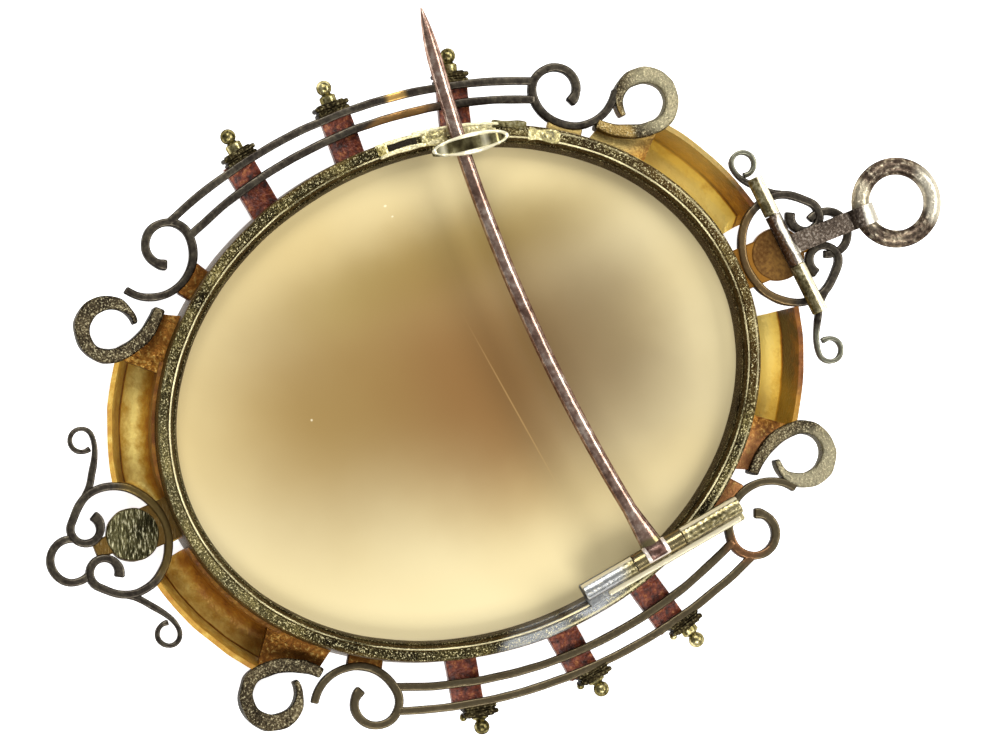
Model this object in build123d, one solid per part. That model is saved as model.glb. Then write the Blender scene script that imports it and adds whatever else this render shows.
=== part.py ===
from build123d import *
import math
import os

# Cameo brooch, lying face down. Millimetres. The origin is the centre of the bezel's front edge,
# which is the face that the brooch lies on. +Z points out of the back, +Y towards the bail,
# and +X to the right as seen from the back.

# Cameo
STONE_WIDTH = 40.3
STONE_LENGTH = 48.5
STONE_EDGE = 2.2
STONE_GAP = 0.08
FIELD_RISE = 0.35
FIELD_BEVEL = 0.7
RELIEF_RISE = 2.3
RELIEF_RECESS = 0.35
BUST_HEIGHT = 36.0

# Bezel
BEZEL_WALL = 0.6
LIP_COVER = 0.5
FRONT_LAND = 0.45
FRONT_CHAMFER = 0.2
LIP_THICK = 0.4
SEAT_COVER = 1.05
RIM_WIDTH = 1.1
BACK_RISE = 2.3
RIM_CHAMFER = 0.12

# Open scroll work round the bezel
WORK_DROP = 2.4
WORK_DEPTH = 1.3
SOLDER = 0.12
THIN_WIRE = 0.66
THICK_DEPTH = 2.4

# Coves, the hollow mouldings at the corners
COVE_WIDTH = 3.85
COVE_SHEET = 0.4
COVE_FLARE = 0.75
COVE_FRONT = 0.5
COVE_FLANK = 0.3

# Side rails, as distances from the bezel's outer edge at mid length. The +X side stands
# a little further out and its middle lies a little towards +Y.
INNER_RAIL = 1.9
OUTER_RAIL = 3.5
RAIL_SHIFT = 0.1
RAIL_SLIP = 0.25
RAIL_WIDTH = 0.66
RAIL_DEPTH = 0.7

# Columns between bezel and outer rail, with their caps and finials
COLUMN_WIDTH = 2.5
COLUMN_SHEET = 0.35
COLUMN_DEPTH = 2.3
CAP_WIDTH = 2.7
CAP_THICK = 0.85
CAP_DEPTH = 2.9
FINIAL_NECK = 1.05
FINIAL_BALL = 1.4
BEAD = 0.6

# Corner scrolls. Turns are the lengths of their arcs in degrees.
THIN_RADIUS = 1.95
THIN_TURN = 242
THIN_SWEEP_RADIUS = 3.5
THIN_SWEEP_START = 124
THIN_SWEEP_TURN = 146
THICK_RADIUS = 2.15
THICK_WIDTH = 1.2
TAIL_RADIUS = 5.6

# Plate between each thick scroll's tail and the bezel, as angles of the tail's arc and round
# the bezel, and the short foot between each thin scroll and the bezel
FILL_START = 175
FILL_TURN = 52
FILL_NEAR = 6.5
FILL_FAR = 58.5
FILL_DROP = 0.7
FILL_THICK = 1.3
FOOT_ANGLE = 3.4
FOOT_SPREAD = 3.2
FOOT_SHORT = 2.5

# Volute clusters at top and bottom
CLUSTER_OFFSET = 4.75
CLUSTER_RADIUS = 4.0
CLUSTER_SIDE = 4.45
CLUSTER_WIRE = 0.64
VOLUTE_RADIUS = 1.2
VOLUTE_ANGLE = 46
VOLUTE_TURN = 258
LOOP_RADIUS = 1.75
LOOP_START = -28
LOOP_TURN = 236
LOOP_REACH_TOP = 3.12
LOOP_REACH_BOTTOM = 4.0
BOSS_DIAMETER = 4.3
BOSS_SHIFT = 1.25
FOOT_WIDTH = 3.4
BRIDGE_WIDTH = 1.5
CURL_RADIUS = 0.93
CURL_TURN = 285
CURL_WIRE = 0.46
TAIL_WIRE = 0.68
TAIL_JOIN = 22
TAIL_BEND_X = 0.5
TAIL_BEND_Y = 0.35

# Pin and its hinge. The hinge stands inside the bezel's outer edge, at a share of its half length,
# and the stem passes the opposite edge by its overhang.
PIN_TUBE = 1.44
PIN_RIVET = 0.7
PIN_HINGE_LENGTH = 14.4
PIN_KNUCKLE = 4.5
PIN_KNUCKLE_START = 5.25
PIN_HINGE_INSET = 2.98
PIN_HINGE_SHARE = 0.3931
PIN_HINGE_LEAN = 6.3
PIN_HEIGHT = 0.97
PIN_PLATE = 0.45
PIN_PLATE_WIDTH = 2.05
STEM_WIRE = 1.2
STEM_ROOT = 1.9
STEM_ROOT_FLAT = 0.62
STEM_TIP = 0.16
STEM_BOW = 2.0
STEM_OVERHANG = 8.72
STEM_TAPER = 4.2
STEM_TAPER_MIDDLE = 0.75
STEM_FLARE = 3.2
STEM_SIDE = 0.5
STEM_SPANS = 3

# C catch: a strip over the stem. Its span is split about the stem by a share.
CATCH_INSET = 2.73
CATCH_STRIP = 0.42
CATCH_WIDTH = 1.75
CATCH_ROOM = 0.4
CATCH_SPAN = 6.2
CATCH_LEAN = -10
CATCH_FAR_SHARE = 0.61
CATCH_LIP = 0.5
CATCH_LIP_BEND = 0.85
CATCH_FOOT_BEND = 1.1
CATCH_PLATE = 0.5
CATCH_PLATE_WIDTH = 1.43
CATCH_PLATE_START = 142
CATCH_PLATE_TURN = 34

# Bail, its hinge and its ring
BAIL_TUBE = 1.3
BAIL_RIVET = 0.6
BAIL_HINGE_LENGTH = 12.0
BAIL_KNUCKLE = 4.5
BAIL_KNUCKLE_START = 3.3
BAIL_SHIFT_X = 0.4
BAIL_SHIFT_Y = 0.4
BAIL_LEAN = 3.0
ARM_WIDTH = 1.6
ARM_THICK = 0.5
ARM_LENGTH = 6.65
ARM_SHIFT = 0.15
ARM_TURN = 4.4
RING_WIRE = 1.45
RING_DIAMETER = 7.3
RING_WEAR = 0.05
LOOP_SHEET = 0.28
RING_ROOM = 0.08

# Clearances of the moving pieces, the width of the feet under hinge tubes as a share
# of the tube, and how far a cutting shape passes the face that it opens
RIVET_ROOM = 0.05
KNUCKLE_ROOM = 0.06
REST_ROOM = 0.08
HINGE_FOOT = 0.72
OVERCUT = 1.0

# Places that follow from the sizes above
HALF_X = STONE_WIDTH / 2 + STONE_GAP + BEZEL_WALL
HALF_Y = STONE_LENGTH / 2 + STONE_GAP + BEZEL_WALL
GIRDLE_Z = RELIEF_RISE + RELIEF_RECESS
STONE_BACK_Z = GIRDLE_Z + STONE_EDGE
SEAT_Z = STONE_BACK_Z + STONE_GAP
RIM_Z = SEAT_Z + BACK_RISE
WORK_Z = RIM_Z - WORK_DROP
PIN_Z = RIM_Z + PIN_HEIGHT
BAIL_Z = WORK_Z + BAIL_TUBE / 2 + REST_ROOM
ARM_LIFT = ARM_THICK / 2 - BAIL_TUBE / 2
CLUSTER_Y = HALF_Y + CLUSTER_OFFSET
PIN_HINGE_X = HALF_X - PIN_HINGE_INSET
PIN_HINGE_Y = HALF_Y * PIN_HINGE_SHARE
STEM_REACH = PIN_HINGE_X + HALF_X + STEM_OVERHANG
STEM_MIDDLE_X = PIN_HINGE_X - STEM_REACH / 2
CATCH_X = HALF_X - CATCH_INSET
STEM_ROOT_Y = PIN_HINGE_Y - STEM_SIDE
RING_RADIUS = (RING_DIAMETER - RING_WIRE) / 2

# Corner scrolls, one row a corner: which side, the place of each scroll's centre as an angle
# round the bezel and a distance outside it, and how far below the thin scroll's middle each
# rail touches it, in degrees. They differ as hand work does.
CORNERS = [
    dict(
        side_x=-1, side_y=1, thin_angle=37.4, thin_off=3.35, thick_angle=52.5, thick_off=4.65,
        inner_touch=90, outer_touch=45,
    ),
    dict(
        side_x=1, side_y=1, thin_angle=37.6, thin_off=4.1, thick_angle=53.0, thick_off=4.95,
        inner_touch=90, outer_touch=28,
    ),
    dict(
        side_x=-1, side_y=-1, thin_angle=35.4, thin_off=3.8, thick_angle=52.2, thick_off=4.95,
        inner_touch=90, outer_touch=28,
    ),
    dict(
        side_x=1, side_y=-1, thin_angle=34.1, thin_off=3.4, thick_angle=50.9, thick_off=5.0,
        inner_touch=105, outer_touch=45,
    ),
]

# Stations of a thick scroll, round its hook and then along its tail: the angle about the
# centre of each arc, and the scroll's width there as a share
THICK_HOOK = [
    dict(angle=-98, share=0.34),
    dict(angle=-70, share=0.5),
    dict(angle=-40, share=0.8),
    dict(angle=0, share=1.1),
    dict(angle=40, share=1.12),
    dict(angle=80, share=0.95),
    dict(angle=120, share=0.88),
    dict(angle=150, share=0.9),
]
THICK_TAIL = [
    dict(angle=182, share=0.95),
    dict(angle=198, share=0.95),
    dict(angle=214, share=0.88),
    dict(angle=230, share=0.7),
]

# Columns, one row each: side, angle of its foot on the bezel, lean from the bezel's normal
# towards +Y, shift of its cap towards +Y, length of the finial's neck, and whether a small
# bead sits beside the cap
COLUMNS = [
    dict(side=-1, angle=20.0, lean=1, shift=0, neck=0.85, bead=False),
    dict(side=-1, angle=-0.6, lean=4, shift=0, neck=0.8, bead=False),
    dict(side=-1, angle=-19.2, lean=9, shift=0.45, neck=0.85, bead=False),
    dict(side=1, angle=18.2, lean=-2.5, shift=0.9, neck=0.75, bead=True),
    dict(side=1, angle=0.6, lean=5.3, shift=0.6, neck=0.45, bead=True),
    dict(side=1, angle=-19.1, lean=2.5, shift=0.85, neck=0.4, bead=True),
]

# Coves, one row each: side and the angles between which it runs
COVES = [
    dict(side_x=-1, side_y=1, start=57.5, end=81.5),
    dict(side_x=1, side_y=1, start=57.5, end=79.5),
    dict(side_x=-1, side_y=-1, start=57.5, end=95.0),
    dict(side_x=1, side_y=-1, start=57.0, end=82.5),
]

# Small curls beside the clusters, one row each: where the curl's centre stands, as a
# distance to the side and a drop below the cluster's centre
CURLS = [
    dict(side_x=-1, side_y=1, side=7.8, drop=0.93),
    dict(side_x=1, side_y=1, side=8.75, drop=0.4),
    dict(side_x=-1, side_y=-1, side=8.55, drop=0.5),
    dict(side_x=1, side_y=-1, side=8.45, drop=0.75),
]

# Relief on the hidden front, a lady's bust in profile. One row a mass: centre and half sizes
# as shares of the bust's height, tilt in degrees, and height as a share of the relief.
# Seen from the back, so +X is right and the face looks towards -X.
RELIEF = [
    dict(name="skull", x=0.0, y=0.235, half_x=0.18, half_y=0.185, tilt=0, rise=0.7),
    dict(name="brow", x=-0.118, y=0.288, half_x=0.076, half_y=0.08, tilt=0, rise=0.6),
    dict(name="cheek", x=-0.095, y=0.19, half_x=0.1, half_y=0.15, tilt=0, rise=0.64),
    dict(name="nose", x=-0.19, y=0.215, half_x=0.058, half_y=0.026, tilt=52, rise=0.46),
    dict(name="nostril", x=-0.187, y=0.178, half_x=0.03, half_y=0.02, tilt=0, rise=0.5),
    dict(name="upper lip", x=-0.18, y=0.148, half_x=0.03, half_y=0.017, tilt=8, rise=0.5),
    dict(name="lower lip", x=-0.174, y=0.124, half_x=0.029, half_y=0.018, tilt=-4, rise=0.5),
    dict(name="chin", x=-0.15, y=0.078, half_x=0.048, half_y=0.042, tilt=0, rise=0.54),
    dict(name="jaw", x=-0.07, y=0.085, half_x=0.1, half_y=0.06, tilt=20, rise=0.6),
    dict(name="neck", x=0.02, y=-0.03, half_x=0.082, half_y=0.2, tilt=6, rise=0.54),
    dict(name="breast", x=-0.1, y=-0.27, half_x=0.19, half_y=0.125, tilt=24, rise=0.7),
    dict(name="shoulder", x=0.14, y=-0.255, half_x=0.175, half_y=0.125, tilt=-32, rise=0.66),
    dict(name="drapery", x=-0.07, y=-0.345, half_x=0.24, half_y=0.06, tilt=14, rise=0.95),
    dict(name="back fold", x=0.19, y=-0.31, half_x=0.13, half_y=0.07, tilt=-22, rise=0.88),
    dict(name="hem", x=0.06, y=-0.395, half_x=0.21, half_y=0.045, tilt=-4, rise=0.9),
    dict(name="front wave", x=-0.02, y=0.37, half_x=0.15, half_y=0.075, tilt=-20, rise=0.9),
    dict(name="crown", x=0.085, y=0.36, half_x=0.14, half_y=0.075, tilt=-42, rise=0.94),
    dict(name="side wave", x=0.035, y=0.29, half_x=0.13, half_y=0.062, tilt=-36, rise=0.86),
    dict(name="ear wave", x=0.08, y=0.205, half_x=0.07, half_y=0.1, tilt=16, rise=0.9),
    dict(name="hair knot", x=0.215, y=0.225, half_x=0.085, half_y=0.08, tilt=0, rise=1.0),
    dict(name="ringlet", x=0.14, y=0.03, half_x=0.034, half_y=0.13, tilt=12, rise=0.72),
]


def on_bezel(angle, off):
    """A point at a distance outside the bezel's edge, at an angle round the oval."""
    turn = math.radians(angle)
    return Vector((HALF_X + off) * math.cos(turn), (HALF_Y + off) * math.sin(turn))


def bezel_normal(angle):
    """The direction square to the bezel's edge at an angle round the oval."""
    turn = math.radians(angle)
    return Vector(math.cos(turn) / HALF_X, math.sin(turn) / HALF_Y).normalized()


def round_point(centre, radius, angle):
    """A point on a circle."""
    turn = math.radians(angle)
    return Vector(centre.X + radius * math.cos(turn), centre.Y + radius * math.sin(turn))


def oval(inset, height):
    """The bezel's oval, drawn in by an inset, at a height."""
    return Pos(0, 0, height) * Ellipse(HALF_X - inset, HALF_Y - inset)


def oval_block(inset, low, high):
    """A straight oval block."""
    return extrude(oval(inset, low), high - low)


def oval_slope(low_inset, high_inset, low, high):
    """An oval block whose wall slopes."""
    return loft([oval(low_inset, low), oval(high_inset, high)])


def oval_arc(off, start, turn):
    """An arc that runs at a distance outside the bezel's edge."""
    return EllipticalCenterArc((0, 0), HALF_X + off, HALF_Y + off, start_angle=start, arc_size=turn)


def mirrored(shape, side_x, side_y):
    """A copy of a shape made in the +X +Y quarter, in the quarter that the signs name."""
    if side_x < 0:
        shape = mirror(shape, Plane.YZ)
    if side_y < 0:
        shape = mirror(shape, Plane.XZ)
    return shape


def wire_work(lines, width, low, high):
    """A flat-backed wire that follows lines drawn in the XY plane."""
    return extrude(Pos(0, 0, low) * trace(lines, width), high - low)


def ribbon(stations, low, high):
    """A scroll whose width changes: stations are middle points with their widths."""
    middles = [point for point, width in stations]
    left = []
    right = []
    for index, (point, width) in enumerate(stations):
        before = middles[max(index - 1, 0)]
        after = middles[min(index + 1, len(middles) - 1)]
        along = (after - before).normalized()
        across = Vector(-along.Y, along.X) * (width / 2)
        left.append(point + across)
        right.append(point - across)
    sides = [Spline(left), Line(left[-1], right[-1]), Spline(right[::-1]), Line(right[0], left[0])]
    return extrude(Pos(0, 0, low) * make_face(Curve() + sides), high - low)


def side_plane(place):
    """A plane square to X at a place, in which x runs along Y and y along Z."""
    return Plane(origin=(place, 0, 0), x_dir=(0, 1, 0), z_dir=(1, 0, 0))


def bezel():
    """The setting: outer wall, front lip, stone pocket, seat and the wide filed rim at the back."""
    opening = BEZEL_WALL + STONE_GAP + LIP_COVER
    seat_opening = BEZEL_WALL + STONE_GAP + SEAT_COVER
    lip_z = GIRDLE_Z - STONE_GAP
    body = oval_slope(FRONT_CHAMFER, 0, 0, FRONT_CHAMFER)
    body += oval_block(0, FRONT_CHAMFER, RIM_Z - RIM_CHAMFER)
    body += oval_slope(0, RIM_CHAMFER, RIM_Z - RIM_CHAMFER, RIM_Z)
    body -= oval_slope(FRONT_CHAMFER + FRONT_LAND, opening, 0, lip_z - LIP_THICK)
    body -= oval_block(opening, lip_z - LIP_THICK, SEAT_Z)
    body -= oval_block(BEZEL_WALL, lip_z, SEAT_Z)
    body -= oval_slope(seat_opening, RIM_WIDTH, SEAT_Z, RIM_Z)
    return body


def cove(start, end):
    """One hollow moulding in the +X +Y quarter, open at the back. It ends at the cluster's ring."""
    back = WORK_Z - SOLDER

    def section(sheet, angle, top):
        place = on_bezel(angle, 0)
        outward = bezel_normal(angle)
        along = (-outward.Y, outward.X, 0)
        plane = Plane(origin=(place.X, place.Y, 0), x_dir=(outward.X, outward.Y, 0), z_dir=along)
        inner = sheet - SOLDER
        outer = COVE_WIDTH - sheet
        foot = outer - COVE_FLARE
        crest = (inner + foot) / 2

        # the plane's own y axis points down, so heights are negative in it
        low = -(COVE_FRONT + sheet)
        flank = low - (back - COVE_FRONT) * COVE_FLANK
        outline = [
            Line((inner, -top), (inner, flank)),
            ThreePointArc((inner, flank), (crest, low), (foot, flank)),
            Line((foot, flank), (outer, -top)),
            Line((outer, -top), (inner, -top)),
        ]
        return plane * make_face(Curve() + outline)

    def run(sheet, first, last, top):
        return sweep(section(sheet, first, top), path=oval_arc(0, first, last - first))

    end_wall = math.degrees(COVE_SHEET / HALF_Y)
    hollow = run(COVE_SHEET, start + end_wall, end - end_wall, back + OVERCUT)
    ring = extrude(Pos(0, CLUSTER_Y, -OVERCUT) * Ellipse(CLUSTER_SIDE, CLUSTER_RADIUS), RIM_Z)
    return run(0, start, end, back) - hollow - ring


def thin_centre(row):
    """The centre of a corner's thin scroll."""
    return on_bezel(row["thin_angle"], row["thin_off"])


def thick_centre(row):
    """The centre of a corner's thick scroll."""
    return on_bezel(row["thick_angle"], row["thick_off"])


def rail_line(side, off, touch):
    """The middle line of a rail, made on the +X side: it runs from thin scroll to thin scroll."""
    corners = {row["side_y"]: row for row in CORNERS if row["side_x"] == side}
    upper = round_point(thin_centre(corners[1]), THIN_RADIUS, -corners[1][touch])
    lower = round_point(thin_centre(corners[-1]), THIN_RADIUS, -corners[-1][touch])
    shift = RAIL_SHIFT if side > 0 else 0
    slip = RAIL_SLIP if side > 0 else 0
    return ThreePointArc(upper, (HALF_X + off + shift, slip), (lower.X, -lower.Y))


def rail(side, off, touch):
    """One rail."""
    shape = wire_work(rail_line(side, off, touch), RAIL_WIDTH, WORK_Z - RAIL_DEPTH, WORK_Z)
    return mirrored(shape, side, 1)


def rail_reach(side, foot, direction):
    """How far the outer rail's middle lies from a column's foot, along the column."""
    line = rail_line(side, OUTER_RAIL, "outer_touch")
    back = foot - line.arc_center
    along = back.dot(direction)
    return math.sqrt(along**2 - back.dot(back) + line.radius**2) - along


def half_round(width, low, high, start, stop):
    """A bar along X, round towards the front and flat towards the back."""
    reach = width / 2
    outline = [
        Line((-reach, high), (-reach, low + reach)),
        ThreePointArc((-reach, low + reach), (0, low), (reach, low + reach)),
        Line((reach, low + reach), (reach, high)),
        Line((reach, high), (-reach, high)),
    ]
    return extrude(side_plane(start) * make_face(Curve() + outline), stop - start)


def column(row):
    """One hollow half-round column with its cap, finial and bead."""
    side = row["side"]
    foot = on_bezel(row["angle"], 0)
    normal = bezel_normal(row["angle"])
    heading = math.degrees(math.atan2(normal.Y, normal.X)) + row["lean"]
    reach = rail_reach(side, foot, round_point(Vector(0, 0), 1, heading))
    place = Pos(foot.X, foot.Y, 0) * Rot(0, 0, heading)
    back = WORK_Z - RAIL_DEPTH + SOLDER
    front = back - COLUMN_DEPTH
    cap_start = reach + RAIL_WIDTH / 4
    cap_end = reach + RAIL_WIDTH / 2 + CAP_THICK
    cap_y = row["shift"]
    cap_z = WORK_Z - CAP_DEPTH / 2

    barrel = half_round(COLUMN_WIDTH, front, back, -BEZEL_WALL / 2, cap_start + SOLDER)
    hollow_width = COLUMN_WIDTH - 2 * COLUMN_SHEET
    barrel -= half_round(hollow_width, front + COLUMN_SHEET, back + OVERCUT, SOLDER, cap_start + SOLDER)
    cap = Pos((cap_start + cap_end) / 2, cap_y, cap_z) * Box(cap_end - cap_start, CAP_WIDTH, CAP_DEPTH)
    cap = chamfer(cap.edges().filter_by(Axis.X), CAP_THICK / 4)

    ball_x = cap_end + row["neck"] + FINIAL_BALL / 3
    neck = Pos(0, cap_y, cap_z) * rod_along_x(FINIAL_NECK, cap_end - SOLDER, ball_x)
    ball = Pos(ball_x, cap_y, cap_z) * Sphere(FINIAL_BALL / 2)
    piece = barrel + cap + neck + ball
    if row["bead"]:
        bead_y = cap_y - CAP_WIDTH / 2
        piece += Pos(cap_end - BEAD / 4, bead_y, cap_z) * Sphere(BEAD / 2)
    return mirrored(place * piece, side, 1)


def thin_scroll(row):
    """The thin C scroll of a corner, in the +X +Y quarter: a curl that opens into a wide sweep."""
    centre = thin_centre(row)
    bottom = round_point(centre, THIN_RADIUS, -90)
    sweep_centre = Vector(bottom.X, bottom.Y + THIN_SWEEP_RADIUS)
    curl = CenterArc(centre, THIN_RADIUS, -90, THIN_TURN)
    opening = CenterArc(sweep_centre, THIN_SWEEP_RADIUS, THIN_SWEEP_START, THIN_SWEEP_TURN)
    return wire_work([curl, opening], THIN_WIRE, WORK_Z - WORK_DEPTH, WORK_Z)


def tail_middle(row):
    """The centre of the arc that a thick scroll's tail follows."""
    hook_centre = thick_centre(row)
    return Vector(hook_centre.X - THICK_RADIUS + TAIL_RADIUS, hook_centre.Y)


def thick_scroll(row):
    """The thick C scroll of a corner: thin at its curled tip, full at its back, lighter in its tail."""
    hook_centre = thick_centre(row)
    tail_centre = tail_middle(row)
    stations = []
    for station in THICK_HOOK:
        point = round_point(hook_centre, THICK_RADIUS, station["angle"])
        stations.append((point, THICK_WIDTH * station["share"]))
    for station in THICK_TAIL:
        point = round_point(tail_centre, TAIL_RADIUS, station["angle"])
        stations.append((point, THICK_WIDTH * station["share"]))
    return ribbon(stations, WORK_Z - THICK_DEPTH, WORK_Z + SOLDER / 2)


def corner_fill(row):
    """The sunk plate between a thick scroll's tail and the bezel."""
    tail = CenterArc(tail_middle(row), TAIL_RADIUS, FILL_START, FILL_TURN)
    near = row["thick_angle"] - FILL_NEAR
    edge = oval_arc(-SOLDER, near, FILL_FAR - near)
    outline = [tail, Line(tail @ 1, edge @ 0), edge, Line(edge @ 1, tail @ 0)]
    low = WORK_Z - FILL_DROP - FILL_THICK
    return extrude(Pos(0, 0, low) * make_face(Curve() + outline), FILL_THICK)


def scroll_foot(row):
    """The short foot between a thin scroll and the bezel."""
    width = row["thin_off"] - FOOT_SHORT
    path = oval_arc(width / 2 - SOLDER, row["thin_angle"] + FOOT_ANGLE - FOOT_SPREAD, 2 * FOOT_SPREAD)
    return wire_work(path, width, WORK_Z - WORK_DEPTH + SOLDER, WORK_Z - SOLDER)


def ring_point(angle):
    """A point on a cluster's ring, which is a little wider than it is long."""
    turn = math.radians(angle)
    return Vector(CLUSTER_SIDE * math.cos(turn), CLUSTER_Y + CLUSTER_RADIUS * math.sin(turn))


def small_curl(row):
    """A small curl beside a cluster and the tail that joins it to the ring."""
    low = WORK_Z - WORK_DEPTH + SOLDER
    high = WORK_Z - SOLDER
    centre = Vector(row["side"], CLUSTER_Y - row["drop"])
    leave = round_point(centre, CURL_RADIUS, -90)
    join = ring_point(TAIL_JOIN)
    bend = (leave + join) / 2 - Vector(CURL_RADIUS * TAIL_BEND_X, CURL_RADIUS * TAIL_BEND_Y)
    curl = CenterArc(centre, CURL_RADIUS, -90, CURL_TURN)
    tail = Spline([leave, bend, join], tangents=[(-1, 0), (-0.3, 1)])
    return [wire_work([curl], CURL_WIRE, low, high), wire_work([tail], TAIL_WIRE, low, high)]


def cluster(side_y, loop_reach):
    """The volute cluster at the top or bottom, made at the top."""
    centre = Vector(0, CLUSTER_Y)
    low = WORK_Z - WORK_DEPTH
    fine_low = low + SOLDER
    fine_high = WORK_Z - SOLDER
    volute_centre = round_point(centre, CLUSTER_RADIUS - VOLUTE_RADIUS, VOLUTE_ANGLE)
    volute = CenterArc(volute_centre, VOLUTE_RADIUS, VOLUTE_ANGLE, VOLUTE_TURN)
    ring = Spline([ring_point(-90), ring_point(0), volute @ 0], tangents=[(1, 0), volute % 0])
    half = wire_work([ring, volute], CLUSTER_WIRE, low, WORK_Z)
    parts = [half, mirrored(half, -1, 1)]

    loop = CenterArc((0, CLUSTER_Y + loop_reach), LOOP_RADIUS, LOOP_START, LOOP_TURN)
    parts.append(wire_work([loop], CLUSTER_WIRE, fine_low, fine_high))

    boss_y = CLUSTER_Y - BOSS_SHIFT
    boss_low = low - WORK_DEPTH / 2
    disc = extrude(Pos(0, boss_y, boss_low) * Circle(BOSS_DIAMETER / 2), fine_high - boss_low)
    parts.append(chamfer(disc.edges().sort_by(Axis.Z)[0], BOSS_DIAMETER / 8))

    # one strip from the bezel to the boss, one from the boss to the volutes
    strips = (
        (HALF_Y - BEZEL_WALL / 2, boss_y, FOOT_WIDTH),
        (boss_y, volute_centre.Y, BRIDGE_WIDTH),
    )
    for near, far, width in strips:
        strip = Box(width, far - near, fine_high - fine_low - SOLDER)
        parts.append(Pos(0, (near + far) / 2, (fine_low + fine_high) / 2) * strip)
    return [mirrored(part, 1, side_y) for part in parts]


def hinge_place(x, y, height, lean):
    """The place of a hinge: X runs along the tube, Z points out of the back."""
    return Pos(x, y, height) * Rot(0, 0, lean)


def rod_along_x(diameter, start, stop):
    """A rod from start to stop along X."""
    return extrude(side_plane(start) * Circle(diameter / 2), stop - start)


def tube_along_x(diameter, bore, start, stop):
    """A knuckle from start to stop along X, bored for its rivet."""
    return rod_along_x(diameter, start, stop) - rod_along_x(bore, start, stop)


def fixed_knuckles(length, first, moving, tube, rivet, depth):
    """The two outer knuckles of a hinge, each with a foot under it."""
    bore = rivet + 2 * RIVET_ROOM
    spans = ((-length / 2, -length / 2 + first), (-length / 2 + first + moving, length / 2))
    pieces = []
    for start, stop in spans:
        foot = Pos((start + stop) / 2, 0, -depth / 2) * Box(stop - start, tube * HINGE_FOOT, depth)
        foot -= rod_along_x(tube - SOLDER, start, stop)
        pieces.append(tube_along_x(tube, bore, start, stop) + foot)
    return pieces


def pin_place():
    """The place of the pin's hinge."""
    return hinge_place(PIN_HINGE_X, PIN_HINGE_Y, PIN_Z, PIN_HINGE_LEAN - 90)


def bail_place():
    """The place of the bail's hinge."""
    return hinge_place(-BAIL_SHIFT_X, CLUSTER_Y - BAIL_SHIFT_Y, BAIL_Z, BAIL_LEAN)


def arm_place():
    """The place of the bail's arm, which stands a little askew on its tube."""
    return bail_place() * Pos(ARM_SHIFT, 0, ARM_LIFT) * Rot(0, 0, -ARM_TURN)


def pin_hinge_base():
    """Plate and fixed knuckles of the pin's hinge."""
    top = -PIN_TUBE / 2 - REST_ROOM
    low = -PIN_HEIGHT - PIN_PLATE
    plate = Box(PIN_HINGE_LENGTH, PIN_PLATE_WIDTH, top - low)
    pieces = fixed_knuckles(
        PIN_HINGE_LENGTH, PIN_KNUCKLE_START, PIN_KNUCKLE, PIN_TUBE, PIN_RIVET, PIN_HEIGHT
    )
    pieces.append(Pos(0, (PIN_PLATE_WIDTH - PIN_TUBE) / 2, (top + low) / 2) * plate)
    return [pin_place() * piece for piece in pieces]


def bail_hinge_base():
    """Fixed knuckles of the bail's hinge."""
    depth = BAIL_Z - WORK_Z + WORK_DEPTH / 2
    pieces = fixed_knuckles(
        BAIL_HINGE_LENGTH, BAIL_KNUCKLE_START, BAIL_KNUCKLE, BAIL_TUBE, BAIL_RIVET, depth
    )
    return [bail_place() * piece for piece in pieces]


def rivet(place, diameter, length):
    """A rivet that ends flush with the outer knuckles."""
    return place * rod_along_x(diameter, -length / 2, length / 2)


def stem_line(x):
    """Where the stem's middle line runs at a given X, and its slope there."""
    half = STEM_REACH / 2
    radius = (half**2 + STEM_BOW**2) / (2 * STEM_BOW)
    across = x - STEM_MIDDLE_X
    rise = math.sqrt(radius**2 - across**2)
    return STEM_ROOT_Y - STEM_BOW + radius - rise, across / rise


def stem_section(x, diameter, flat=1.0):
    """A round section of the stem, square to its line."""
    y, slope = stem_line(x)
    plane = Plane(origin=(x, y, PIN_Z), x_dir=(-slope, 1, 0), z_dir=(-1, -slope, 0))
    return plane * Ellipse(diameter / 2, diameter / 2 * flat)


def pin_stem():
    """The stem with its knuckle and its flared root."""
    flare_x = PIN_HINGE_X - PIN_TUBE / 2 - STEM_FLARE
    tip_x = PIN_HINGE_X - STEM_REACH
    taper_x = tip_x + STEM_TAPER
    root = stem_section(PIN_HINGE_X - PIN_TUBE / 4, STEM_ROOT, STEM_ROOT_FLAT)
    wire = []
    for index in range(STEM_SPANS + 1):
        wire.append(stem_section(flare_x + (taper_x - flare_x) * index / STEM_SPANS, STEM_WIRE))
    middle = stem_section((taper_x + tip_x) / 2, STEM_WIRE * STEM_TAPER_MIDDLE)
    body = loft([root, wire[0]], ruled=True) + loft(wire)
    body += loft([wire[-1], middle, stem_section(tip_x, STEM_TIP)])

    start = -PIN_HINGE_LENGTH / 2 + PIN_KNUCKLE_START + KNUCKLE_ROOM
    stop = start + PIN_KNUCKLE - 2 * KNUCKLE_ROOM
    bore = PIN_RIVET + 2 * RIVET_ROOM
    body += pin_place() * tube_along_x(PIN_TUBE, bore, start, stop)
    body -= pin_place() * rod_along_x(bore, start, stop)
    return body


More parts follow.
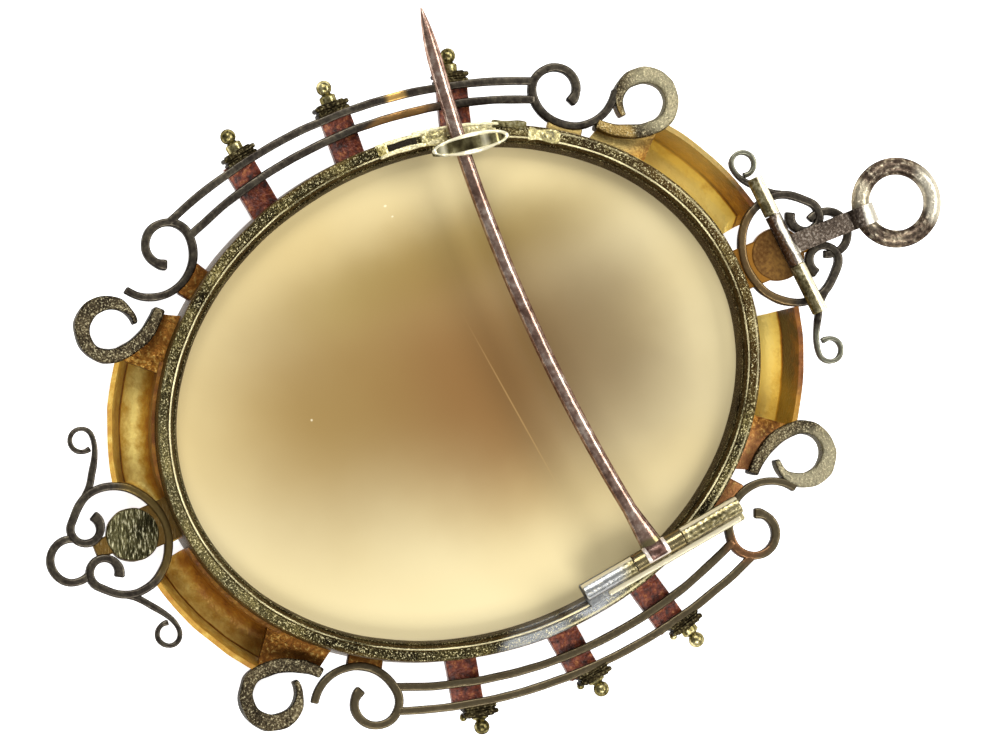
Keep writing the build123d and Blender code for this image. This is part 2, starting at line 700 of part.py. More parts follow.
def catch():
    """The C catch on its plate: a bent strip that passes square over the stem."""
    path = oval_arc(-RIM_WIDTH / 2, CATCH_PLATE_START, CATCH_PLATE_TURN)
    plate = wire_work(path, CATCH_PLATE_WIDTH, RIM_Z - CATCH_PLATE / 2, RIM_Z + CATCH_PLATE / 2)
    stem, slope = stem_line(-CATCH_X)
    top = PIN_Z + STEM_WIRE / 2 + CATCH_ROOM + CATCH_STRIP / 2
    lip = PIN_Z + CATCH_LIP
    far = stem + CATCH_SPAN * CATCH_FAR_SHARE
    near = far - CATCH_SPAN
    crest = far - CATCH_FOOT_BEND
    foot_middle = (far - CATCH_FOOT_BEND / 4, (RIM_Z + top) / 2)
    line = [
        Spline([(far, RIM_Z), foot_middle, (crest, top)], tangents=[(0, 1), (-1, 0)]),
        Line((crest, top), (near + CATCH_LIP_BEND, top)),
        Spline([(near + CATCH_LIP_BEND, top), (near, lip)], tangents=[(-1, 0), (-0.1, -1)]),
    ]
    strip = extrude(side_plane(-CATCH_X - CATCH_WIDTH / 2) * trace(line, CATCH_STRIP), CATCH_WIDTH)
    turned = Pos(-CATCH_X, stem, 0) * Rot(0, 0, CATCH_LEAN) * Pos(CATCH_X, -stem, 0)
    return [plate, turned * strip]


def frame():
    """All the gold work that is soldered together, as one solid."""
    pieces = []
    for row in COVES:
        pieces.append(mirrored(cove(row["start"], row["end"]), row["side_x"], row["side_y"]))
    for side in (-1, 1):
        pieces.append(rail(side, INNER_RAIL, "inner_touch"))
        pieces.append(rail(side, OUTER_RAIL, "outer_touch"))
    for row in COLUMNS:
        pieces.append(column(row))
    for row in CORNERS:
        for make in (thin_scroll, thick_scroll, corner_fill, scroll_foot):
            pieces.append(mirrored(make(row), row["side_x"], row["side_y"]))
    for row in CURLS:
        for wire in small_curl(row):
            pieces.append(mirrored(wire, row["side_x"], row["side_y"]))
    pieces += cluster(1, LOOP_REACH_TOP)
    pieces += cluster(-1, LOOP_REACH_BOTTOM)
    pieces += pin_hinge_base()
    pieces += bail_hinge_base()
    pieces += catch()
    return bezel().fuse(*pieces)


def bail_ring():
    """The ring, with a narrow flat land worn round its hole."""
    ring = Torus(RING_RADIUS, RING_WIRE / 2)
    ring -= Cylinder(RING_RADIUS - RING_WIRE / 2 + RING_WEAR, RING_WIRE)
    return arm_place() * Pos(0, ARM_LENGTH + RING_RADIUS, 0) * ring


def bail_arm():
    """The moving knuckle, the flat arm and the loop round the ring's wire."""
    start = -BAIL_HINGE_LENGTH / 2 + BAIL_KNUCKLE_START + KNUCKLE_ROOM
    stop = start + BAIL_KNUCKLE - 2 * KNUCKLE_ROOM
    bore = BAIL_RIVET + 2 * RIVET_ROOM
    eye = RING_WIRE / 2 + RING_ROOM
    reach = ARM_LENGTH - eye - LOOP_SHEET / 2
    arm = Pos(0, reach / 2, 0) * Box(ARM_WIDTH, reach, ARM_THICK)
    loop = Pos(0, ARM_LENGTH, 0) * tube_along_x(
        2 * (eye + LOOP_SHEET), 2 * eye, -ARM_WIDTH / 2, ARM_WIDTH / 2
    )
    body = bail_place() * tube_along_x(BAIL_TUBE, bore, start, stop)
    body += arm_place() * (arm + loop)
    body -= bail_place() * rod_along_x(bore, start, stop)
    return body


def cameo_stone():
    """The stone: an oval plate with a ledge under the lip, a bevelled field and the carved bust."""
    field_z = GIRDLE_Z - FIELD_RISE
    ledge = BEZEL_WALL + LIP_COVER + 2 * STONE_GAP
    plate = extrude(oval(BEZEL_WALL + STONE_GAP, GIRDLE_Z), STONE_EDGE)
    plate += oval_slope(ledge + FIELD_BEVEL, ledge, field_z, GIRDLE_Z)
    masses = []
    for row in RELIEF:
        height = row["rise"] * (RELIEF_RISE - FIELD_RISE)
        sizes = (row["half_x"] * BUST_HEIGHT, row["half_y"] * BUST_HEIGHT, height)
        place = Pos(row["x"] * BUST_HEIGHT, row["y"] * BUST_HEIGHT, field_z) * Rot(0, 0, row["tilt"])
        masses.append(place * scale(Sphere(1), by=sizes))
    return plate.fuse(*masses)


def build():
    """Write every node."""
    os.makedirs("parts", exist_ok=True)
    nodes = {
        "cameo_stone": cameo_stone(),
        "frame": frame(),
        "pin_stem": pin_stem(),
        "pin_rivet": rivet(pin_place(), PIN_RIVET, PIN_HINGE_LENGTH),
        "bail_arm": bail_arm(),
        "bail_ring": bail_ring(),
        "bail_rivet": rivet(bail_place(), BAIL_RIVET, BAIL_HINGE_LENGTH),
    }
    for name, shape in nodes.items():
        export_step(shape, f"parts/{name}.step")


build()
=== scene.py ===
import math

import bmesh
import bpy
import numpy as np
from mathutils import Matrix, Vector, noise


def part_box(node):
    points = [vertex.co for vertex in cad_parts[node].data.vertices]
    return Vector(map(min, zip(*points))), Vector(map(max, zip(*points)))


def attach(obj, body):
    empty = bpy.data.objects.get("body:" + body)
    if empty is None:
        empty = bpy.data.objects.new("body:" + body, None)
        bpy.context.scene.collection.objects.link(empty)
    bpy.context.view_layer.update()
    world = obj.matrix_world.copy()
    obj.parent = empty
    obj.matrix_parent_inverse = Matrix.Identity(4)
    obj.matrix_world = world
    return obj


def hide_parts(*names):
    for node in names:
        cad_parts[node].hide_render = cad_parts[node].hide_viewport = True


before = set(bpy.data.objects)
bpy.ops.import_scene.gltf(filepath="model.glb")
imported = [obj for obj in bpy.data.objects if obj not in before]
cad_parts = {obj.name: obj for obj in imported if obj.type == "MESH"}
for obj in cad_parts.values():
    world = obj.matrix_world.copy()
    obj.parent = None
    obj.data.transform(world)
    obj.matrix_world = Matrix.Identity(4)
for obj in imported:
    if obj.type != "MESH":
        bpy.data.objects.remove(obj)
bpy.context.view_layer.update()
# The unevenness of hand work is noise, and the seed keeps it the same every time
noise.seed_set(1)

# Lengths are in millimetres and turned to metres as each mesh is made, and angles are in
# degrees. The brooch lies face down: Z points out of its back and Y towards the bail.
MM = 0.001
# The spacing of points along a path, how far pieces run into the bezel, how much lower one
# piece lies than the next, and the soft end of a bar: its length and the share it draws in by
STEP = 0.22
SOLDER = 0.12
SET_BACK = 0.12
END_LENGTH = 0.1
END_DRAW = 0.22

# Stone and bezel
stone_low, stone_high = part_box("cameo_stone")
STONE_GAP = 0.08
BEZEL_WALL = 0.6
HALF_X = (stone_high[0] - stone_low[0]) / 2 / MM + STONE_GAP + BEZEL_WALL
HALF_Y = (stone_high[1] - stone_low[1]) / 2 / MM + STONE_GAP + BEZEL_WALL
STONE_BACK_Z = stone_high[2] / MM
STONE_BEVEL = 0.12
GIRDLE_Z = 2.65
FIELD_Z = 2.3
FIELD_BEVEL = 0.7
LEDGE = 1.26
RELIEF_RISE = 1.95
RELIEF_GRID = 270
BUST_HEIGHT = 36.0
SEAT_Z = STONE_BACK_Z + STONE_GAP
SEAT_COVER = 1.73
RIM_Z = SEAT_Z + 2.3
LIP_Z = GIRDLE_Z - STONE_GAP
LIP_COVER = 1.18
BEZEL_FACETS = 720

# Open work
WORK_Z = RIM_Z - 2.4
WORK_DEPTH = 1.3
THIN_WIRE = 0.66
THIN_EDGE = 0.14
THIN_RADIUS = 1.95
THIN_TURN = 242
THIN_CLOSE = 0.22
SWEEP_RADIUS = 3.5
SWEEP_START = 124
THICK_RADIUS = 2.15
THICK_WIDTH = 1.2
THICK_DEPTH = 2.4
THICK_EDGE = 0.2
THICK_PROUD = 0.06
TAIL_RADIUS = 5.6
COVE_WIDTH = 3.85
COVE_SHEET = 0.4
COVE_FLARE = 0.75
COVE_FRONT = 0.5
COVE_FLANK = 0.3
COVE_ARC_STEPS = 14
PLATE_START = 175
PLATE_TURN = 52
PLATE_NEAR = 6.5
PLATE_FAR = 58.5
PLATE_DROP = 0.7
PLATE_THICK = 1.3
PLATE_SAG = 0.35
FOOT_SHORT = 2.5
FOOT_SHIFT = 0.2
FOOT_TURN = 6.4
INNER_RAIL = 1.9
OUTER_RAIL = 3.5
RAIL_WIDTH = 0.66
RAIL_DEPTH = 0.7
RAIL_EDGE = 0.13
RAIL_SHIFT = 0.1
RAIL_SLIP = 0.25
COLUMN_WIDTH = 2.5
COLUMN_SHEET = 0.18
COLUMN_DEPTH = 2.3
COLUMN_SINK = 0.3
COLUMN_LAP = 0.1
COLUMN_LIP = 0.15
COLUMN_HOLLOW = 0.12
CAP_WIDTH = 2.7
CAP_THICK = 0.85
CAP_DEPTH = 2.9
FINIAL_BALL = 1.26
FINIAL_SINK = 0.15
FINIAL_NECK = 0.66
BEAD_RADIUS = 0.3

# Clusters
CLUSTER_Y = HALF_Y + 4.75
CLUSTER_RADIUS = 4.0
CLUSTER_SIDE = 4.45
CLUSTER_WIRE = 0.64
CLUSTER_EDGE = 0.15
CLUSTER_BOW = 1.15
VOLUTE_RADIUS = 1.2
VOLUTE_ANGLE = 46
VOLUTE_TURN = 258
LOOP_RADIUS = 1.75
LOOP_START = -28
LOOP_TURN = 236
# How far out the loop stands in the top cluster, 1, and in the bottom one, -1
LOOP_REACH = {1: 3.12, -1: 4.0}
BOSS_RADIUS = 2.15
BOSS_SHIFT = 1.25
STRAP_SINK = 0.3
STRAP_DROP = 0.2
STRAP_WIDE = 3.4
STRAP_NARROW = 1.5
CURL_RADIUS = 0.93
CURL_TURN = 285
CURL_WIRE = 0.36
CURL_EDGE = 0.12
CURL_JOIN = 22

# Pin, its hinge and its catch
RIVET_ROOM = 0.05
PIN_TUBE = 1.44
PIN_RISE = 0.97
PIN_X = HALF_X - 2.98
PIN_Y = HALF_Y * 0.3931
PIN_Z = RIM_Z + PIN_RISE
# The angle and reach at the end place a painted highlight down the tube's lit side, with painted shade on its
# far side
PIN_HINGE = dict(
    origin=(PIN_X, PIN_Y, PIN_Z), lean=6.3 - 90, length=14.4, start=5.25, moving=4.5,
    radius=PIN_TUBE / 2, rivet=0.7, depth=PIN_RISE, foot=PIN_TUBE * 0.72, worn_and_lit=148, reach=14,
)
PIN_PLATE_WIDTH = 2.05
PIN_PLATE_LOW = -1.42
PIN_PLATE_HIGH = -0.8
RIDGE_START = 0.3
RIDGE_STOP = 1.8
RIDGE_INNER = 0.12
RIDGE_OUTER = 0.56
RIDGE_SINK = 0.2
RIDGE_RISE = 0.1
STEM_WIRE = 1.2
STEM_SET = 0.5
STEM_BOW = 2.0
STEM_REACH = PIN_X + HALF_X + 8.72
CATCH_X = HALF_X - 2.73
CATCH_LEAN = -10
CATCH_SPAN = 6.2
CATCH_FAR_SHARE = 0.61
CATCH_SHEET = 0.42
CATCH_ROOM = 0.4

# Bail hinge
BAIL_TUBE = 1.3
BAIL_Z = WORK_Z + BAIL_TUBE / 2 + 0.08
# The angle and reach at the end place a painted highlight down the tube's lit side, with painted shade on its
# far side
BAIL_HINGE = dict(
    origin=(-0.4, CLUSTER_Y - 0.4, BAIL_Z), lean=3.0, length=12.0, start=3.3, moving=4.5,
    radius=BAIL_TUBE / 2, rivet=0.6, depth=BAIL_Z - WORK_Z + WORK_DEPTH / 2, foot=BAIL_TUBE * 0.72,
    worn_and_lit=52, reach=24,
)

# The two scrolls of each corner: their angle on the bezel's oval and how far outside it they
# stand, and the angles at which the inner and the outer rail touch the thin one
CORNERS = [
    dict(side=(-1, 1), thin_angle=37.4, thin_off=3.35, thick_angle=52.5, thick_off=4.65, touch=(90, 45)),
    dict(side=(1, 1), thin_angle=37.6, thin_off=4.1, thick_angle=53.0, thick_off=4.95, touch=(90, 28)),
    dict(side=(-1, -1), thin_angle=35.4, thin_off=3.8, thick_angle=52.2, thick_off=4.95, touch=(90, 28)),
    dict(side=(1, -1), thin_angle=34.1, thin_off=3.4, thick_angle=50.9, thick_off=5.0, touch=(105, 45)),
]
# How wide a thick scroll is at angles round its hook and then along its tail
HOOK_ANGLES = [-98, -70, -40, 0, 40, 80, 120, 150, 180]
HOOK_SHARES = [0.34, 0.5, 0.8, 1.1, 1.12, 0.95, 0.88, 0.9, 0.94]
TAIL_ANGLES = [180, 198, 214, 230]
TAIL_SHARES = [0.94, 0.95, 0.88, 0.7]
# Columns lean a little and some caps sit off their middle, since both were set by eye
COLUMNS = [
    dict(side=-1, angle=20.0, lean=1, shift=0, neck=0.85, bead=False),
    dict(side=-1, angle=-0.6, lean=4, shift=0, neck=0.8, bead=False),
    dict(side=-1, angle=-19.2, lean=9, shift=0.45, neck=0.85, bead=False),
    dict(side=1, angle=18.2, lean=-2.5, shift=0.9, neck=0.75, bead=True),
    dict(side=1, angle=0.6, lean=5.3, shift=0.6, neck=0.45, bead=True),
    dict(side=1, angle=-19.1, lean=2.5, shift=0.85, neck=0.4, bead=True),
]
# A cap's mouldings: start and end in tenths of its length, and shares of its width and depth
CAP_STEPS = [(0, 4, 0.98, 1.0), (0, 6, 0.88, 0.92), (5, 8.8, 1.04, 1.0), (5, 10, 0.8, 0.8)]
# A finial's collar: place from its ball's near end, and radius
FINIAL_COLLAR = [(-0.12, 0.68), (-0.04, 0.62), (0.0, 0.5)]
# Coves with the tones of their outer wall, of their floor from outside in and of their lip. High
# floor tones give the bottom the gold's yellow, with its brightness as a painted reflection of
# the white surroundings.
COVES = [
    dict(side=(-1, 1), start=57.5, end=81.5, wall=(0.1, 0.4, 0.3), floor=(0.8, 0.9, 0.95), lip=0.9),
    dict(side=(1, 1), start=57.5, end=79.5, wall=(0.2, -0.15, -0.15), floor=(0.8, 0.95, 1.0), lip=0.85),
    dict(side=(-1, -1), start=57.5, end=95.0, wall=(0.6, 0.5, 0.3), floor=(0.6, 0.86, 0.4), lip=0.3),
    dict(side=(1, -1), start=57.0, end=82.5, wall=(0.55, 0.7, 0.8), floor=(0.88, 0.58, 0.26), lip=0.3),
]
# The small curls at a cluster's sides: how far aside, and how much nearer the bezel than the
# cluster's middle
CURLS = [
    dict(side=(-1, 1), away=7.8, drop=0.93),
    dict(side=(1, 1), away=8.75, drop=0.4),
    dict(side=(-1, -1), away=8.55, drop=0.5),
    dict(side=(1, -1), away=8.45, drop=0.75),
]
# Layers of the stem's bent-over root: first and last place along the hinge, how far in and out
# they lie from the tube's skin, start and end angle, and tone
STEM_FOOT_LAYERS = [
    (-0.5, 1.5, -0.04, 0.14, 48, 165, 0.9),
    (-0.25, 1.25, 0.0, 0.17, 58, 160, 0.2),
]
# Strips of the catch's foot on the rim: first angle, turn, distance from the bezel's oval,
# width, how far below the highest they lie, how uneven their edges are, and tone
# The darkest rows, with tones 0.05 and 0.15, paint the slot and the shadow line: painted shade
CATCH_STRIPS = [
    (140.5, 6.0, -0.62, 1.0, 0.12, 0.14, 0.65),
    (147.6, 6.2, 0.02, 0.6, 0.0, 0.14, 0.15),
    (153.5, 11.5, -0.3, 0.85, 0.05, 0.14, 0.7),
    (163.0, 4.5, -0.6, 1.25, 0.0, 0.14, 0.65),
    (164.0, 12.0, -0.95, 0.4, 0.0, 0.14, 0.8),
    (166.0, 10.2, -0.1, 0.3, 0.0, 0.14, 0.75),
    (168.8, 6.4, -0.5, 0.6, 0.12, 0.14, 0.05),
    (174.6, 1.6, -0.5, 0.9, 0.0, 0.14, 0.6),
    (153.0, 16.0, 0.05, 0.28, -0.04, 0.0, 0.9),
]


def at(centre, radius, angle):
    """The point at a distance and an angle from a centre."""
    turn = np.radians(angle)
    return np.array([centre[0] + radius * np.cos(turn), centre[1] + radius * np.sin(turn)])


def arc(centre, radius, start, turn):
    """Points along an arc, closer together than the step."""
    count = max(6, int(abs(math.radians(turn)) * radius / STEP) + 1)
    angles = np.radians(np.linspace(start, start + turn, count))
    return np.column_stack([centre[0] + radius * np.cos(angles), centre[1] + radius * np.sin(angles)])


def oval(off, start, turn, count=None):
    """A stretch of the bezel's oval, moved out by a distance."""
    if count is None:
        count = max(6, int(abs(math.radians(turn)) * HALF_Y / STEP) + 1)
    angles = np.radians(np.linspace(start, start + turn, count))
    return np.column_stack([(HALF_X + off) * np.cos(angles), (HALF_Y + off) * np.sin(angles)])


def bow(start, leave, end, arrive, count=24):
    """A smooth curve between two points, with its direction at each."""
    share = np.linspace(0, 1, count)[:, None]
    reach = np.linalg.norm(np.subtract(end, start))
    a, b = np.array(start, float), np.array(end, float)
    u, w = np.array(leave, float) * reach, np.array(arrive, float) * reach
    return (
        (2 * share**3 - 3 * share**2 + 1) * a + (share**3 - 2 * share**2 + share) * u
        + (3 * share**2 - 2 * share**3) * b + (share**3 - share**2) * w
    )


def joined(*paths):
    """Paths in one, without the points that two of them share."""
    points = [paths[0]]
    for path in paths[1:]:
        points.append(path[1:] if np.allclose(path[0], points[-1][-1], atol=0.02) else path)
    return np.vstack(points)


def squares(path):
    """The direction square to a path at each point."""
    along = np.gradient(path, axis=0)
    along /= np.linalg.norm(along, axis=1)[:, None]
    return np.column_stack([-along[:, 1], along[:, 0]])


def bar(width, low, high, edge=0.12, steps=3):
    """The section of a bar with softened edges, as across and up."""
    edge = min(edge, width / 2 - 0.01, (high - low) / 2 - 0.01)
    points = []
    for across, up, start in (
        (width / 2 - edge, low + edge, -90),
        (width / 2 - edge, high - edge, 0),
        (-width / 2 + edge, high - edge, 90),
        (-width / 2 + edge, low + edge, 180),
    ):
        for step in range(steps + 1):
            turn = math.radians(start + 90 * step / steps)
            points.append((across + edge * math.cos(turn), up + edge * math.sin(turn)))
    return np.array(points)


def swept(path, section, share=None):
    """Rings of points along a flat path, with soft ends. share widens or narrows the section."""
    share = np.ones(len(path)) if share is None else np.asarray(share, float)
    rings = []
    for point, square, size in zip(path, squares(path), share):
        flat = point + square * (section[:, :1] * size)
        rings.append(np.column_stack([flat, section[:, 1]]))
    middle = (section[:, 1].min() + section[:, 1].max()) / 2
    for end, inner in ((0, 1), (-1, -2)):
        along = path[end] - path[inner]
        along /= np.linalg.norm(along)
        centre = np.array([*path[end], middle])
        cap = centre + (rings[end] - centre) * (1 - END_DRAW)
        cap[:, :2] += along * END_LENGTH
        if end == 0:
            rings.insert(0, cap)
        else:
            rings.append(cap)
    return np.array(rings)


def turned(profile, count=40, axis="x"):
    """Rings of a turned shape: profile rows are place along the axis and radius."""
    angles = np.linspace(0, 2 * math.pi, count, endpoint=False)
    rings = []
    for place, radius in profile:
        side, up = radius * np.cos(angles), radius * np.sin(angles)
        along = np.full(count, place)
        rings.append(np.column_stack([along, side, up] if axis == "x" else [side, up, along]))
    return np.array(rings)


def tube(radius, bore, start, stop, count=40, edge=0.07):
    """A knuckle with its bore, as rings that close on themselves."""
    profile = [
        (start, bore), (start, radius - edge), (start + edge, radius),
        (stop - edge, radius), (stop, radius - edge), (stop, bore),
    ]
    angles = np.linspace(0, 2 * math.pi, count, endpoint=False)
    return np.array([
        [(place, size * math.cos(turn), size * math.sin(turn)) for place, size in profile] for turn in angles
    ])


def box(low, high, edge=0.1):
    """A bar with softened edges from corner to corner."""
    size = [b - a for a, b in zip(low, high)]
    middle = (low[1] + high[1]) / 2
    section = bar(size[1], low[2], high[2], edge)
    rings = []
    for place, draw in ((low[0], edge), (low[0] + edge, 0), (high[0] - edge, 0), (high[0], edge)):
        share = np.array([1 - 2 * draw / size[1], 1 - 2 * draw / size[2]])
        centre = np.array([0, (low[2] + high[2]) / 2])
        flat = centre + (section - centre) * share
        rings.append(np.column_stack([np.full(len(flat), place), flat[:, 0] + middle, flat[:, 1]]))
    return np.array(rings)


def placed(points, origin, turn):
    """Points of a local frame, turned about Z and moved to their place."""
    c, s = math.cos(math.radians(turn)), math.sin(math.radians(turn))
    x, y = points[..., 0] * c - points[..., 1] * s, points[..., 0] * s + points[..., 1] * c
    z = points[..., 2] + (origin[2] if len(origin) > 2 else 0)
    return np.stack([x + origin[0], y + origin[1], z], axis=-1)


def flipped(points, side):
    """A copy in the quarter that the two signs name."""
    return points * np.array([side[0], side[1], 1])


class Work:
    """Closed shapes of one finish, gathered into one mesh."""

    def __init__(self):
        self.points = []
        self.faces = []
        self.tones = []
        self.count = 0

    def add(self, rings, closed=False, tones=0.5):
        rings = np.asarray(rings, float)
        length, around = rings.shape[:2]
        self.points.append(rings.reshape(-1, 3))
        self.tones.append(np.broadcast_to(np.asarray(tones, float), (length, around)).reshape(-1))
        for i in range(length if closed else length - 1):
            a, b = self.count + i * around, self.count + (i + 1) % length * around
            for j in range(around):
                k = (j + 1) % around
                self.faces.append((a + j, a + k, b + k, b + j))
        if not closed:
            last = self.count + (length - 1) * around
            self.faces.append(tuple(range(self.count + around - 1, self.count - 1, -1)))
            self.faces.append(tuple(range(last, last + around)))
        self.count += length * around

    def made(self, name, body, slot, finish, node, wobble=0.0, wobble_size=2.0, sharp=38):
        """The mesh as a piece on a body, with hand work's small unevenness."""
        points = np.vstack(self.points)
        if wobble:
            for row in points:
                row += wobble * np.array(noise.noise_vector(Vector(row / wobble_size)))
        mesh = bpy.data.meshes.new(name)
        mesh.from_pydata((points * MM).tolist(), [], self.faces)
        tone = mesh.attributes.new("tone", "FLOAT", "POINT")
        tone.data.foreach_set("value", np.concatenate(self.tones).astype(np.float32))
        shape = bmesh.new()
        shape.from_mesh(mesh)
        bmesh.ops.recalc_face_normals(shape, faces=shape.faces)
        shape.to_mesh(mesh)
        shape.free()
        mesh.shade_smooth()
        mesh.set_sharp_from_angle(angle=math.radians(sharp))
        mesh.materials.append(finish)
        piece = bpy.data.objects.new(name, mesh)
        bpy.context.scene.collection.objects.link(piece)
        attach(piece, body)
        if node:
            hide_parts(node)


def linear(code):
    """An sRGB hex colour as linear values."""
    parts = [int(code[i:i + 2], 16) / 255 for i in (1, 3, 5)]
    return tuple(c / 12.92 if c <= 0.04045 else ((c + 0.055) / 1.055) ** 2.4 for c in parts) + (1.0,)


def add(tree, kind, settings=None, inputs=None, stops=()):
    """A node with its settings, its links or values and the hex colours of its stops."""
    made = tree.nodes.new(kind)
    for name, value in (settings or {}).items():
        setattr(made, name, value)
    for name, value in (inputs or {}).items():
        socket = made.inputs[name]
        if isinstance(value, bpy.types.NodeSocket):
            tree.links.new(value, socket)
        else:
            socket.default_value = value
    for index, (place, code) in enumerate(stops):
        elements = made.color_ramp.elements
        stop = elements[index] if index < len(elements) else elements.new(place)
        stop.position = place
        stop.color = linear(code)
    return made


# Inputs and output of a colour mix. They share their names with those of the mix's other
# types, so they are reached by number.
COLOURS = {"data_type": "RGBA"}
SHARE, UNDER, OVER, MIXED = 0, 6, 7, 2


def new_finish(name):
    """A new material with its nodes and its shader."""
    finish = bpy.data.materials.new(name)
    finish.use_nodes = True
    return finish, finish.node_tree, finish.node_tree.nodes["Principled BSDF"]


def per_mm(size):
    """The scale of a pattern whose grain is a size in millimetres."""
    return 1 / (size * MM)


def surfaced(tree, shader, colour, grain, depth):
    """A colour on the shader, and a grain that stands up by a depth in millimetres."""
    bump = add(tree, "ShaderNodeBump", inputs={"Height": grain, "Distance": depth * MM})
    tree.links.new(colour, shader.inputs["Base Color"])
    tree.links.new(bump.outputs["Normal"], shader.inputs["Normal"])


def stain_and_painted_light(tree, place, colour, spot):
    """A soft-edged oval patch laid over a colour. Some tables use it for stains, others for painted
    highlights and painted shade.
    """
    local = add(tree, "ShaderNodeMapping", {"vector_type": "TEXTURE"}, {
        "Vector": place,
        "Location": (spot["x"] * MM, spot["y"] * MM, 0),
        "Rotation": (0, 0, math.radians(spot.get("turn", 0))),
        "Scale": (spot["wide"] * MM, spot["long"] * MM, 1),
    })
    reach = add(tree, "ShaderNodeVectorMath", {"operation": "LENGTH"}, {0: local.outputs[0]})
    fade = add(tree, "ShaderNodeMapRange", {"interpolation_type": "SMOOTHERSTEP"}, {
        "Value": reach.outputs["Value"], "From Min": spot.get("firm", 0.0), "From Max": 1.5,
        "To Min": spot["strength"], "To Max": 0.0,
    })
    laid = add(tree, "ShaderNodeMix", COLOURS, {
        SHARE: fade.outputs[0], UNDER: colour, OVER: linear(spot["colour"]),
    })
    return laid.outputs[MIXED]


def drifted(tree, place, broad):
    """Places moved by up to about 0.6 mm, so that the edges of stains and of painted highlights and shade
    wander.
    """
    drift = add(tree, "ShaderNodeVectorMath", {"operation": "MULTIPLY_ADD"}, {
        0: broad.outputs["Color"], 1: (1.2 * MM,) * 3, 2: (-0.6 * MM,) * 3,
    })
    return add(tree, "ShaderNodeVectorMath", {"operation": "ADD"}, {0: place, 1: drift.outputs[0]}).outputs[0]


def speckled(tree, colour, grain, pit, worn_and_lit, flecks):
    """Fine dark pits and bright specks over a colour."""
    high = add(tree, "ShaderNodeMapRange", inputs={
        "Value": grain, "From Min": 0.57, "From Max": 0.66, "To Min": 0.0, "To Max": flecks,
    })
    low = add(tree, "ShaderNodeMapRange", inputs={
        "Value": grain, "From Min": 0.34, "From Max": 0.43, "To Min": 0.6 * flecks, "To Max": 0.0,
    })
    pitted = add(tree, "ShaderNodeMix", COLOURS, {SHARE: low.outputs[0], UNDER: colour, OVER: linear(pit)})
    lit = add(tree, "ShaderNodeMix", COLOURS, {
        SHARE: high.outputs[0], UNDER: pitted.outputs[MIXED], OVER: linear(worn_and_lit),
    })
    return lit.outputs[MIXED]


def toned_by_hand(tree, shader, colour, burnt_and_shade, worn_and_lit, metal):
    """Burnt colour and painted shade where the mesh's tone is 0, and worn colour and painted highlights where
    it is 1, both less metallic.
    """
    tone = add(tree, "ShaderNodeAttribute", {"attribute_name": "tone"}).outputs["Fac"]
    low = add(tree, "ShaderNodeMapRange", inputs={
        "Value": tone, "From Min": 0.05, "From Max": 0.45, "To Min": 1.0, "To Max": 0.0,
    })
    high = add(tree, "ShaderNodeMapRange", inputs={"Value": tone, "From Min": 0.6, "From Max": 0.95})
    with_burnt_and_shade = add(tree, "ShaderNodeMix", COLOURS, {SHARE: low.outputs[0], UNDER: colour, OVER: linear(burnt_and_shade)})
    with_worn_and_lit = add(tree, "ShaderNodeMix", COLOURS, {
        SHARE: high.outputs[0], UNDER: with_burnt_and_shade.outputs[MIXED], OVER: linear(worn_and_lit),
    })
    dull = add(tree, "ShaderNodeMath", {"operation": "MAXIMUM"}, {0: low.outputs[0], 1: high.outputs[0]})
    left = add(tree, "ShaderNodeMath", {"operation": "MULTIPLY_ADD"}, {
        0: dull.outputs[0], 1: -0.45 * metal, 2: metal,
    })
    tree.links.new(left.outputs[0], shader.inputs["Metallic"])
    return with_worn_and_lit.outputs[MIXED]


def worn_gold(
    name, skin, burnt_and_shade, worn_and_lit, grain, pits, rough, metal=0.85, flecks=0.0, stains_and_painted_light=(), toned=True, filed=None,
):
    """Old gold: a grained skin, burnt where heat and dirt stayed and worn pale on its crests.

    skin holds the colours of its pits, its ground and its bright grains. The two colours after
    skin are those at tone 0, for heat stains and painted shade, and at tone 1, for wear and
    painted highlights. grain and pits are sizes in millimetres. flecks is how much of the pits
    and the tone 1 colour shows as specks. filed is the angle of file marks.
    """
    finish, tree, shader = new_finish(name)
    place = add(tree, "ShaderNodeTexCoord").outputs["Object"]
    marks = place
    if filed is not None:
        marks = add(tree, "ShaderNodeMapping", {"vector_type": "TEXTURE"}, {
            "Vector": place, "Rotation": (0, 0, math.radians(filed)), "Scale": (4, 1, 1),
        }).outputs[0]
    fine = add(tree, "ShaderNodeTexNoise", inputs={
        "Vector": marks, "Scale": per_mm(grain), "Detail": 3.0, "Roughness": 0.6,
    })
    broad = add(tree, "ShaderNodeTexNoise", inputs={"Vector": place, "Scale": per_mm(2.2), "Detail": 2.0})
    both = add(tree, "ShaderNodeMix", {"data_type": "FLOAT"}, {
        "Factor": 0.4, "A": fine.outputs["Fac"], "B": broad.outputs["Fac"],
    })
    ground = add(
        tree, "ShaderNodeValToRGB", inputs={"Fac": both.outputs[0]},
        stops=[(0.38, skin[0]), (0.5, skin[1]), (0.62, skin[2])],
    )
    colour = ground.outputs["Color"]
    if stains_and_painted_light:
        moved = drifted(tree, place, broad)
        for spot in stains_and_painted_light:
            colour = stain_and_painted_light(tree, moved, colour, spot)
    if flecks:
        colour = speckled(tree, colour, fine.outputs["Fac"], skin[0], worn_and_lit, flecks)
    if toned:
        colour = toned_by_hand(tree, shader, colour, burnt_and_shade, worn_and_lit, metal)
    else:
        shader.inputs["Metallic"].default_value = metal
    surfaced(tree, shader, colour, fine.outputs["Fac"], pits)
    shader.inputs["Roughness"].default_value = rough
    shader.inputs["Specular Tint"].default_value = linear(burnt_and_shade)
    return finish


